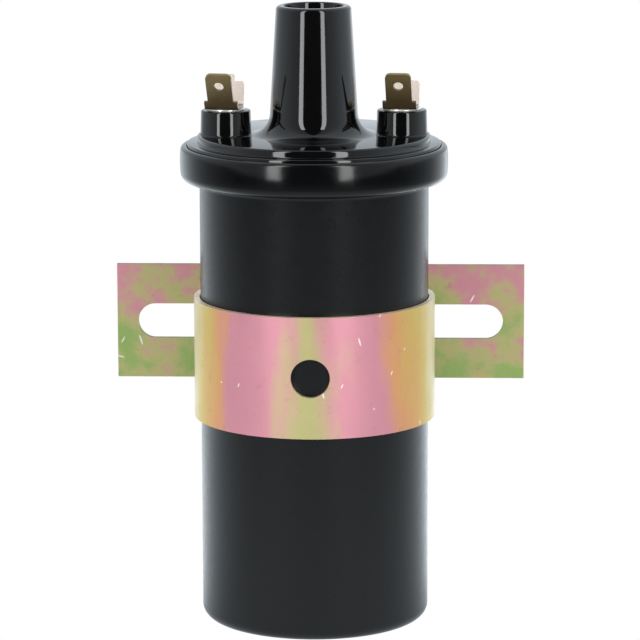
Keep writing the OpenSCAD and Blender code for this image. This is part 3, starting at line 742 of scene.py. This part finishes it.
def makeSlotTool(shape, side):
    half = (shape["slotLength"] - shape["slotHeight"]) / 2
    bm = bmesh.new()
    radius = shape["slotHeight"] / 2
    bmesh.ops.create_circle(bm, cap_ends=False, radius=radius * mm, segments=64)
    right = [vert for vert in bm.verts if vert.co.x > -1e-7]
    bmesh.ops.translate(bm, vec=(half * mm, 0, 0), verts=right)
    left = [vert for vert in bm.verts if vert not in right]
    bmesh.ops.translate(bm, vec=(-half * mm, 0, 0), verts=left)
    bmesh.ops.contextual_create(bm, geom=bm.edges[:])
    result = bmesh.ops.extrude_face_region(bm, geom=bm.faces[:])
    verts = [item for item in result["geom"] if isinstance(item, bmesh.types.BMVert)]
    bmesh.ops.translate(bm, vec=(0, 0, 8 * mm), verts=verts)
    stand = Matrix.Rotation(math.radians(90), 4, "X")
    place = Matrix.Translation((side * shape["slotX"] * mm, 47 * mm, shape["middle"] * mm))
    bmesh.ops.transform(bm, matrix=place @ stand, verts=bm.verts)
    return toObject("tool", bm)


def makeStrap(shape, *finishes):
    bm = bmesh.new()
    step = (shape["high"] - shape["low"]) / shape["rows"]
    column = [(0, -shape["bandRadius"] * mm, (shape["low"] + step * row) * mm)
              for row in range(shape["rows"] + 1)]
    edges = addChain(bm, column)[1]
    bendAngle = math.degrees(math.atan2(shape["bendLowY"], shape["bendX"]))
    edges = spinEdges(bm, edges, (0, 0, 0), (0, 0, 1), 90 + bendAngle, 120)
    edges = spinEdges(bm, edges, (shape["bendX"], shape["bendLowY"], 0), (0, 0, 1), -bendAngle, 10)
    edges = extrudeEdges(bm, edges, (0, shape["bendHighY"] - shape["bendLowY"], 0), 8)
    edges = spinEdges(bm, edges, (shape["bendX"], shape["bendHighY"], 0), (0, 0, 1), -90, 10)
    edges = extrudeEdges(bm, edges, (shape["earReach"] - shape["bendX"], 0, 0), 24)
    addMirrored(bm)
    strap = toObject("mountingStrap", bm)
    thicken(strap, shape["thickness"])
    for side in (-1, 1):
        combine(strap, makeSlotTool(shape, side), "DIFFERENCE")
    middle = Matrix.Translation((0, 0, shape["middle"] * mm))
    towardsFront = middle @ Matrix.Rotation(math.radians(90), 4, "X")
    combine(strap, turnedTool(rod(shape["frontHole"], 25, 34), towardsFront, 64), "DIFFERENCE")
    acrossLegs = (middle @ Matrix.Translation((0, shape["screwY"] * mm, 0))
                  @ Matrix.Rotation(math.radians(90), 4, "Y"))
    combine(strap, turnedTool(rod(shape["screwHole"], -8, 8), acrossLegs), "DIFFERENCE")
    cleanUp(strap)
    softenEdges(strap, shape["edgeRound"])
    cleanUp(strap)
    evenShading(strap)
    addPiece(strap, "mounting_strap", "bracket", "strap_zinc", *finishes)
    # cut edges take a painted highlight on the band and painted shade on the ears
    for face in strap.data.polygons:
        across = abs(face.normal.dot(sheetNormal(shape, face.center)))
        edge = 2 if face.center.y > 0.0405 else 1
        face.material_index = edge if across < 0.8 else 0


strapLook = {
    # the few colours of a yellow chromate film, from thick to thin
    "olive": (0.45, 0.42, 0.18), "rose": (0.59, 0.25, 0.30), "copper": (0.66, 0.32, 0.14),
    "gold": (0.58, 0.42, 0.11), "straw": (0.60, 0.54, 0.34), "green": (0.30, 0.42, 0.13),
    # degrees to either side of the front where each colour of the band is purest
    "bands": [(0, "olive"), (14, "rose"), (30, "rose"), (44, "copper"), (57, "gold"),
              (80, "straw")],
    "ears": [(0.36, "green"), (0.48, "olive"), (0.62, "rose")],
    "bandShift": 8.0,       # degrees that the bands move outwards towards the lower edge
    "metallic": 0.46,
    "roughness": (0.32, 0.46),
    "low": 0.0509, "high": 0.0805,
    "earsFrom": 0.0315,
}


def makeStrapMaterial(look):
    material, tree, shader, place = newMaterial("strapZinc")
    link = tree.links.new
    split = addNode(tree, "ShaderNodeSeparateXYZ")
    link(place, split.inputs["Vector"])
    back = addNode(tree, "ShaderNodeMath", {1: -1.0}, operation="MULTIPLY")
    link(split.outputs["Y"], back.inputs[0])
    angle = addNode(tree, "ShaderNodeMath", operation="ARCTAN2")
    link(split.outputs["X"], angle.inputs[0])
    link(back.outputs["Value"], angle.inputs[1])
    tall = stretch(tree, place, (1, 1, 0.22))
    clouds = addNode(tree, "ShaderNodeTexNoise", {"Scale": 85.0, "Detail": 6.0, "Roughness": 0.62})
    link(tall, clouds.inputs["Vector"])
    wobble = addRange(tree, clouds.outputs["Fac"], -0.20, 0.20, 0.3, 0.7)
    turned = addNode(tree, "ShaderNodeMath", operation="ADD")
    link(angle.outputs["Value"], turned.inputs[0])
    link(wobble, turned.inputs[1])
    eitherSide = addNode(tree, "ShaderNodeMath", operation="ABSOLUTE")
    link(turned.outputs["Value"], eitherSide.inputs[0])
    mottle = addNode(tree, "ShaderNodeTexNoise", {"Scale": 75.0, "Detail": 6.0, "Roughness": 0.65})
    link(place, mottle.inputs["Vector"])
    shift = addRange(tree, split.outputs["Z"], -math.radians(look["bandShift"]), 0.0,
                     look["low"], look["high"])
    film = addNode(tree, "ShaderNodeMath", operation="ADD")
    link(eitherSide.outputs["Value"], film.inputs[0])
    link(shift, film.inputs[1])
    share = addRange(tree, film.outputs["Value"], 0.0, 1.0, 0.0, math.pi / 2)
    around = addRamp(tree, [(degrees / 90, look[name]) for degrees, name in look["bands"]],
                     share, smooth=False)
    climb = addRange(tree, split.outputs["Z"], -0.09, 0.09, look["low"], look["high"])
    earShare = addNode(tree, "ShaderNodeMath", operation="ADD")
    link(mottle.outputs["Fac"], earShare.inputs[0])
    link(climb, earShare.inputs[1])
    ears = addRamp(tree, [(position, look[name]) for position, name in look["ears"]],
                   earShare.outputs["Value"])
    atEars = addNode(tree, "ShaderNodeMath", {1: look["earsFrom"]}, operation="GREATER_THAN")
    link(split.outputs["Y"], atEars.inputs[0])
    colour = mixColours(tree, atEars.outputs["Value"], around, ears)
    dirt = addNode(tree, "ShaderNodeTexNoise", {"Scale": 420.0, "Detail": 4.0, "Roughness": 0.7})
    link(place, dirt.inputs["Vector"])
    dull = addRange(tree, dirt.outputs["Fac"], 0.0, 0.5, 0.6, 0.8)
    colour = mixColours(tree, dull, colour, (0.26, 0.19, 0.11))
    marks = [addGroup(tree, scratchGroup, {"Tilt": tilt, "Width": width, "Amount": amount}, place)
             for tilt, width, amount in ((0.3, 0.10, 0.16), (-0.5, 0.08, 0.14), (1.3, 0.09, 0.10))]
    for mark in marks:
        colour = mixColours(tree, mark.outputs["Mask"], colour, (0.80, 0.74, 0.66))
    link(colour, shader.inputs["Base Color"])
    grain = addGroup(tree, grainGroup, {"Fine Scale": 1500.0, "Coarse Scale": 120.0}, place)
    rough = addRange(tree, mottle.outputs["Fac"], *look["roughness"], 0.3, 0.7)
    link(rough, shader.inputs["Roughness"])
    shader.inputs["Metallic"].default_value = look["metallic"]
    addBump(tree, shader, grain.outputs["Height"], 0.15, 0.0002)
    return material


materials["strapZinc"] = makeStrapMaterial(strapLook)
# the band's cut edges: painted highlight, pale cream
materials["strapEdgeHighlight"] = makePlainMaterial("strapEdgeHighlight", {
    "colour": (0.76, 0.68, 0.54), "colourToo": (0.60, 0.46, 0.30), "roughness": (0.3, 0.45),
    "fineScale": 1500.0, "coarseScale": 300.0, "bump": 0.15, "bumpDepth": 0.0001, "metallic": 0.5})
# the ears' cut edges: painted shade, dark brown
materials["earEdgeShade"] = makePlainMaterial("earEdgeShade", {
    "colour": (0.21, 0.16, 0.05), "colourToo": (0.14, 0.09, 0.04), "roughness": (0.3, 0.45),
    "fineScale": 1500.0, "coarseScale": 300.0, "bump": 0.15, "bumpDepth": 0.0001, "metallic": 0.6})
makeStrap(strapShape, materials["strapZinc"], materials["strapEdgeHighlight"], materials["earEdgeShade"])


# terminals, rivets and washers on the two posts
terminalShape = {
    "halfPlate": 4.1, "thickness": 0.8,
    "plateMiddle": 127.5, "bendZ": 128.4, "bendRadius": 0.9,
    "front": {"side": -1, "reach": 4.2, "lean": 25, "run": 9.18, "step": 1.3, "halfTip": 3.15,
              "tipRound": 1.3},
    "rear": {"side": 1, "reach": 3.9, "lean": 36, "run": 7.55, "step": 5.6, "halfTip": 1.7,
             "tipRound": 0.4, "stepRound": 0.9},
    "latchRadius": 1.2, "latchFromTip": 3.4,
    "turns": {-1: (-11, -2), 1: (-8, -3)},
    "edgeRound": 0.12,
}

terminalLook = {
    "frontShadeTop": ((0.22, 0.165, 0.072), (0.17, 0.12, 0.052)),   # brass darkened with painted shade
    "frontShadeRoot": ((0.095, 0.066, 0.03), (0.068, 0.045, 0.022)),
    "step": ((0.76, 0.71, 0.65), (0.72, 0.56, 0.45)),          # painted highlight: pale silver, pink in places
    "tongue": ((0.82, 0.70, 0.42), (0.70, 0.54, 0.30)),
    "frontRoughness": 0.26, "rearRoughness": 0.34, "uneven": 0.06,
    "frontMetallic": 0.55, "rearMetallic": 0.55,
    "rootZ": 0.129, "topZ": 0.1365,
    "frontEnds": -0.0006, "rearStarts": 0.0008,
    "stepEnds": 0.1335, "tongueStarts": 0.1345,
}


def makeTerminalMaterial(look):
    material, tree, shader, place = newMaterial("terminalBlade")
    split = addNode(tree, "ShaderNodeSeparateXYZ")
    tree.links.new(place, split.inputs["Vector"])
    grain = addGroup(tree, grainGroup, {"Fine Scale": 1800.0, "Coarse Scale": 240.0}, place)
    mask = grain.outputs["Mask"]
    # the front blade: brass darkened with painted shade, darkest at the root by the post
    rise = addRange(tree, split.outputs["Z"], 0.0, 1.0, look["rootZ"], look["topZ"])
    front = mixColours(tree, rise, mixColours(tree, mask, *look["frontShadeRoot"]),
                       mixColours(tree, mask, *look["frontShadeTop"]))
    # the rear blade's wide part is a painted highlight; its tongue keeps the brass colour
    step = mixColours(tree, mask, *look["step"])
    tongue = mixColours(tree, mask, *look["tongue"])
    upShare = addRange(tree, split.outputs["Z"], 0.0, 1.0, look["stepEnds"], look["tongueStarts"])
    rear = mixColours(tree, upShare, step, tongue)
    rearShare = addRange(tree, split.outputs["Y"], 0.0, 1.0, look["frontEnds"], look["rearStarts"])
    colour = mixColours(tree, rearShare, front, rear)
    scratches = addGroup(tree, scratchGroup, {"Tilt": 0.2, "Width": 0.08, "Amount": 0.15}, place)
    colour = mixColours(tree, scratches.outputs["Mask"], colour, (0.80, 0.74, 0.60))
    tree.links.new(colour, shader.inputs["Base Color"])
    base = addRange(tree, rearShare, look["frontRoughness"], look["rearRoughness"], 0.0, 1.0)
    more = addRange(tree, mask, 0.0, look["uneven"], 0.3, 0.7)
    rough = addNode(tree, "ShaderNodeMath", operation="ADD")
    tree.links.new(base, rough.inputs[0])
    tree.links.new(more, rough.inputs[1])
    tree.links.new(rough.outputs["Value"], shader.inputs["Roughness"])
    metal = addRange(tree, rearShare, look["frontMetallic"], look["rearMetallic"], 0.0, 1.0)
    tree.links.new(metal, shader.inputs["Metallic"])
    addBump(tree, shader, grain.outputs["Height"], 0.12, 0.0001)
    return material


materials["terminalBlade"] = makeTerminalMaterial(terminalLook)
# pale cut edges: bare metal plus a painted highlight
materials["terminalCutEdgeAndHighlight"] = makePlainMaterial("terminalCutEdgeAndHighlight", {
    "colour": (0.80, 0.76, 0.64), "colourToo": (0.66, 0.58, 0.42), "roughness": (0.24, 0.34),
    "fineScale": 2200.0, "coarseScale": 400.0, "bump": 0.12, "bumpDepth": 0.0001,
    "metallic": 0.5})


def roundCorners(bm, verts, radius):
    bmesh.ops.bevel(bm, geom=list(verts), offset=radius * mm, offset_type="OFFSET", segments=5,
                    profile=0.5, affect="VERTICES", material=-1)


def outermost(edges):
    verts = {vert for edge in edges for vert in edge.verts}
    reach = max(abs(vert.co.x) for vert in verts)
    return [vert for vert in verts if abs(abs(vert.co.x) - reach) < 1e-6]


def growBlade(bm, shape, blade, edges):
    # one blade from the plate's edge: bend, wide part up to its step, then the narrower tip
    side = blade["side"]
    edges = extrudeEdges(bm, edges, (0, side * blade["reach"], 0), 4)
    bend = 90 - blade["lean"]
    centre = (0, side * blade["reach"], shape["bendZ"])
    edges = spinEdges(bm, edges, centre, (1, 0, 0), side * bend, 6)
    along = Vector((0, side * math.cos(math.radians(bend)), math.sin(math.radians(bend))))
    edges = extrudeEdges(bm, edges, along * blade["step"], 2)
    stepCorners = outermost(edges)
    inner = [edge for edge in edges
             if max(abs(vert.co.x) for vert in edge.verts) < (blade["halfTip"] + 0.1) * mm]
    tip = extrudeEdges(bm, inner, along * (blade["run"] - blade["step"]), 2)
    tipCorners = outermost(tip)
    tipCentre = (tipCorners[0].co + tipCorners[1].co) / 2
    roundCorners(bm, tipCorners, blade["tipRound"])
    if "stepRound" in blade:
        roundCorners(bm, stepCorners, blade["stepRound"])
    return tipCentre - along * shape["latchFromTip"] * mm, along


def twistRear(bm, angle):
    # the rear blade points another way than the front one; the plate takes up the twist
    for vert in bm.verts:
        share = min(max(vert.co.y / (2 * mm), 0), 1)
        vert.co = Matrix.Rotation(math.radians(angle) * share, 3, "Z") @ vert.co


def markCutEdges(piece, shape):
    # the sheared sides and tips are pale: bare metal of the cut plus a painted highlight
    for face in piece.data.polygons:
        blade = shape["front"] if face.center.y < 0 else shape["rear"]
        lean = math.radians(blade["lean"])
        along = Vector((0, blade["side"] * math.sin(lean), math.cos(lean)))
        atTip = face.normal.dot(along) > 0.7 and face.center.z > 0.131
        if abs(face.normal.x) > 0.35 or atTip:
            face.material_index = 1


def makeTerminal(name, node, shape, side):
    bm = bmesh.new()
    halves = sorted({shape["halfPlate"], shape["front"]["halfTip"], shape["rear"]["halfTip"]})
    xs = [-half for half in reversed(halves)] + halves
    edges = addChain(bm, [(x * mm, 0, shape["plateMiddle"] * mm) for x in xs])[1]
    hole, along = growBlade(bm, shape, shape["front"], edges)
    growBlade(bm, shape, shape["rear"], edges)
    bmesh.ops.remove_doubles(bm, verts=bm.verts, dist=2e-6)
    frontTurn, rearTurn = shape["turns"][side]
    twistRear(bm, rearTurn - frontTurn)
    piece = toObject(name, bm)
    thicken(piece, shape["thickness"])
    aim = along.cross(Vector((1, 0, 0))).to_track_quat("Z", "Y").to_matrix().to_4x4()
    latch = turnedTool(rod(shape["latchRadius"], -3, 3), Matrix.Translation(hole) @ aim)
    combine(piece, latch, "DIFFERENCE")
    combine(piece, turnedTool(rod(2.1, 126, 129), Matrix.Identity(4)), "DIFFERENCE")
    cleanUp(piece)
    softenEdges(piece, shape["edgeRound"])
    markCutEdges(piece, shape)
    turn = Matrix.Rotation(math.radians(frontTurn), 4, "Z")
    piece.data.transform(postMatrix(side) @ turn)
    cleanUp(piece)
    evenShading(piece)
    addPiece(piece, node, "coil", "terminal_brass", materials["terminalBlade"],
             materials["terminalCutEdgeAndHighlight"])


rivetShape = {
    "shank": 2.0, "headRadius": 3.3, "headHigh": 1.3, "headZ": 127.9, "headEdge": 0.15,
    "tailZ": 113.2, "tailTop": 114.4,
}


def makeRivet(name, node, shape, side):
    bm = bmesh.new()
    radius = shape["headRadius"]
    bmesh.ops.create_uvsphere(bm, u_segments=48, v_segments=24, radius=1)
    bmesh.ops.bisect_plane(bm, geom=bm.verts[:] + bm.edges[:] + bm.faces[:], plane_co=(0, 0, 0),
                           plane_no=(0, 0, 1), clear_inner=True)
    dome = shape["headHigh"] - shape["headEdge"]
    bmesh.ops.scale(bm, vec=Vector((radius, radius, dome)) * mm, verts=bm.verts)
    base = shape["headZ"] + shape["headEdge"]
    bmesh.ops.translate(bm, vec=(0, 0, base * mm), verts=bm.verts)
    rim = [edge for edge in bm.edges if edge.is_boundary]
    levels = [(radius, shape["headZ"]), (shape["shank"], shape["headZ"]),
              (shape["shank"], shape["tailTop"]), (radius, shape["tailTop"]),
              (radius, shape["tailZ"])]
    for newRadius, level in levels:
        start = rim[0].verts[0].co
        factor = newRadius * mm / math.hypot(start.x, start.y)
        rim = extrudeEdges(bm, rim, (0, 0, level - start.z / mm))
        verts = list({vert for edge in rim for vert in edge.verts})
        bmesh.ops.scale(bm, vec=(factor, factor, 1), verts=verts)
    bmesh.ops.contextual_create(bm, geom=rim)
    bmesh.ops.transform(bm, matrix=postMatrix(side), verts=bm.verts)
    addPiece(toObject(name, bm), node, "coil", "terminal_brass", materials["terminalBrass"])


postWasherShape = {"inner": 2.1, "outer": 4.8, "low": 126.6, "high": 127.1, "edge": 0.15}


def makePostWasher(name, node, shape, side):
    bm = bmesh.new()
    corners = [(shape["inner"], shape["low"]), (shape["outer"], shape["low"]),
               (shape["outer"], shape["high"]), (shape["inner"], shape["high"])]
    turnChain(bm, corners, True, 72)
    for radius, height in corners[1:3]:
        roundRing(bm, radius, height, shape["edge"], 3)
    bmesh.ops.transform(bm, matrix=postMatrix(side), verts=bm.verts)
    addPiece(toObject(name, bm), node, "coil", "spring_steel", materials["tinPlate"])


for side, sideName in ((-1, "left"), (1, "right")):
    makeTerminal(f"{sideName}Terminal", f"terminal_{sideName}", terminalShape, side)
    makeRivet(f"{sideName}Rivet", f"rivet_{sideName}", rivetShape, side)
    makePostWasher(f"{sideName}PostWasher", f"post_washer_{sideName}", postWasherShape, side)
print("terminals are ready")


# clamp screw, lock washer and nut across the strap's legs, made along Z and laid along X
fastenerShape = {
    "axisY": 35.78, "axisZ": 65.7,
    "acrossFlats": 8.0,
    "headFrom": 3.9, "headTo": 7.4, "slot": (1.2, 1.4),
    "nutFrom": -9.1, "nutTo": -5.1, "nutBore": 2.5,
    "threadRadius": 2.45, "threadDepth": 0.42, "pitch": 0.8, "screwEnd": -12.1,
    "plainTo": -3.4,        # the thread starts here; the shank is plain up to the head
    "washerFrom": -5.1, "washerTo": -3.9, "washerOuter": 4.4, "washerInner": 2.6, "split": 1.0,
}


def acrossMatrix(shape):
    place = Matrix.Translation((0, shape["axisY"] * mm, shape["axisZ"] * mm))
    return place @ Matrix.Rotation(math.radians(90), 4, "Y")


def makeHex(shape, low, high, bothEnds):
    # six flats, with the corners turned off at the ends
    corner = shape["acrossFlats"] / 2 / math.cos(math.radians(30))
    bm = bmesh.new()
    bmesh.ops.create_cone(bm, cap_ends=True, cap_tris=False, segments=6, radius1=corner * mm,
                          radius2=corner * mm, depth=(high - low) * mm)
    bmesh.ops.rotate(bm, matrix=Matrix.Rotation(math.radians(30), 3, "Z"), verts=bm.verts)
    bmesh.ops.translate(bm, vec=(0, 0, (low + high) / 2 * mm), verts=bm.verts)
    piece = toObject("hex", bm)
    inner = shape["acrossFlats"] / 2 - 0.15
    drop = (corner + 0.5 - inner) * math.tan(math.radians(30))
    start = [(0, low), (inner, low), (corner + 0.5, low + drop)] if bothEnds else [
        (0, low), (corner + 0.5, low)]
    lens = start + [(corner + 0.5, high - drop), (inner, high), (0, high)]
    combine(piece, turnedTool(lens, Matrix.Identity(4), 96), "INTERSECT")
    return piece


def makeThread(shape, low, high):
    # one pitch of the profile, wound up the shank and cut level at both ends
    bm = bmesh.new()
    outer = shape["threadRadius"] * mm
    inner = outer - shape["threadDepth"] * mm
    pitch = shape["pitch"] * mm
    turns = math.ceil((high - low) / shape["pitch"]) + 2
    steps = 40
    base = low * mm - pitch
    points = [(inner, 0, base), (outer, 0, base + pitch * 0.42), (outer, 0, base + pitch * 0.56),
              (inner, 0, base + pitch)]
    verts, edges = addChain(bm, points)
    bmesh.ops.spin(bm, geom=verts + edges, cent=(0, 0, 0), axis=(0, 0, 1),
                   dvec=(0, 0, pitch / steps), angle=fullTurn * turns, steps=steps * turns)
    bmesh.ops.remove_doubles(bm, verts=bm.verts, dist=2e-6)
    for level, direction in ((low, -1), (high, 1)):
        cut = bmesh.ops.bisect_plane(
            bm, geom=bm.verts[:] + bm.edges[:] + bm.faces[:], plane_co=(0, 0, level * mm),
            plane_no=(0, 0, direction), clear_outer=True, dist=1e-7)
        ends = [item for item in cut["geom_cut"] if isinstance(item, bmesh.types.BMEdge)]
        bmesh.ops.holes_fill(bm, edges=ends, sides=0)
    return toObject("thread", bm)


def makeFasteners(shape):
    across = acrossMatrix(shape)
    screw = makeHex(shape, shape["headFrom"], shape["headTo"], False)
    width, depth = shape["slot"]
    bm = bmesh.new()
    bmesh.ops.create_cube(bm, size=1)
    bmesh.ops.scale(bm, vec=(width * mm, 20 * mm, 2 * depth * mm), verts=bm.verts)
    bmesh.ops.translate(bm, vec=(0, 0, shape["headTo"] * mm), verts=bm.verts)
    bmesh.ops.rotate(bm, matrix=Matrix.Rotation(math.radians(90), 3, "Z"), verts=bm.verts)
    combine(screw, toObject("tool", bm), "DIFFERENCE")
    core = shape["threadRadius"]
    shank = turnedTool(rod(core, shape["plainTo"] - 0.4, shape["headFrom"] + 0.5),
                       Matrix.Identity(4), 80)
    combine(screw, shank, "UNION")
    combine(screw, makeThread(shape, shape["screwEnd"], shape["plainTo"]), "UNION")
    cleanUp(screw, 30)
    screw.data.transform(across)
    screw.name = "clampScrew"
    addPiece(screw, "clamp_screw", "screw", "fastener_zinc", materials["fastenerZinc"])
    nut = makeHex(shape, shape["nutFrom"], shape["nutTo"], True)
    bore = shape["nutBore"]
    low = shape["nutFrom"]
    high = shape["nutTo"]
    boreTool = [(0, low - 1), (bore + 1.4, low - 1), (bore, low + 0.4), (bore, high - 0.4),
                (bore + 1.4, high + 1), (0, high + 1)]
    combine(nut, turnedTool(boreTool, Matrix.Identity(4), 80), "DIFFERENCE")
    cleanUp(nut, 30)
    nut.data.transform(across)
    nut.name = "clampNut"
    addPiece(nut, "clamp_nut", "nut", "fastener_zinc", materials["fastenerZinc"])
    bm = bmesh.new()
    inner = shape["washerInner"]
    outer = shape["washerOuter"]
    middle = (inner + outer) / 2
    gap = shape["split"] / middle
    thick = shape["washerTo"] - shape["washerFrom"]
    corners = [(inner, 0.1), (outer, 0), (outer, thick), (inner, thick - 0.1)]
    verts, edges = addChain(bm, [(radius * mm, 0, (shape["washerFrom"] + height) * mm)
                                 for radius, height in corners])
    edges.append(bm.edges.new((verts[-1], verts[0])))
    face = bmesh.ops.contextual_create(bm, geom=edges)["faces"]
    bmesh.ops.spin(bm, geom=verts + edges + face, cent=(0, 0, 0), axis=(0, 0, 1),
                   angle=fullTurn - gap, steps=64)
    bmesh.ops.rotate(bm, matrix=Matrix.Rotation(math.radians(80), 3, "Z"), verts=bm.verts)
    bmesh.ops.recalc_face_normals(bm, faces=bm.faces)
    bmesh.ops.transform(bm, matrix=across, verts=bm.verts)
    washer = toObject("lockWasher", bm)
    softenEdges(washer, 0.1, 1)
    cleanUp(washer)
    addPiece(washer, "lock_washer", "nut", "spring_steel", materials["brightSteel"])


makeFasteners(fastenerShape)
print("fasteners are ready")


# the solids that stay as they are get their finishes
nodeFinishes = {
    "cap_gasket": "blackRubber", "ht_contact": "contactBrass", "ht_spring": "brightSteel",
    "core_plate": "contactBrass", "core_strips": "coreIron", "core_tube": "pressboard",
    "secondary_winding": "windingCopper", "winding_paper": "kraftPaper",
    "primary_winding": "windingCopper", "outer_wrap": "kraftPaper",
    "shield_inner": "coreIron", "shield_outer": "coreIron", "ceramic_foot": "footCeramic",
    "centring_disc": "pressboard", "primary_lead_left": "leadSleeving",
    "primary_lead_right": "leadSleeving", "lower_washers": "pressboard",
}


def makeWindingMaterial():
    # enamelled wire: fine turns stacked along the axis
    material, tree, shader, place = newMaterial("windingCopper")
    turns = addNode(tree, "ShaderNodeTexWave", {"Scale": 700.0, "Distortion": 0.4, "Detail": 1.0},
                    wave_type="BANDS", bands_direction="Z", wave_profile="SIN")
    tree.links.new(place, turns.inputs["Vector"])
    colour = addRamp(tree, [(0.1, (0.10, 0.03, 0.012)), (0.6, (0.55, 0.22, 0.09))],
                     turns.outputs["Fac"])
    tree.links.new(colour, shader.inputs["Base Color"])
    shader.inputs["Metallic"].default_value = 0.8
    grain = addGroup(tree, grainGroup, {"Fine Scale": 1500.0, "Coarse Scale": 120.0}, place)
    tree.links.new(addRange(tree, grain.outputs["Mask"], 0.25, 0.4), shader.inputs["Roughness"])
    addBump(tree, shader, turns.outputs["Fac"], 0.6, 0.0002)
    return material


materials["windingCopper"] = makeWindingMaterial()
for nodeName, finish in nodeFinishes.items():
    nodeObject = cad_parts[nodeName]
    nodeObject.data.materials.clear()
    nodeObject.data.materials.append(materials[finish])
print("finishes are on")
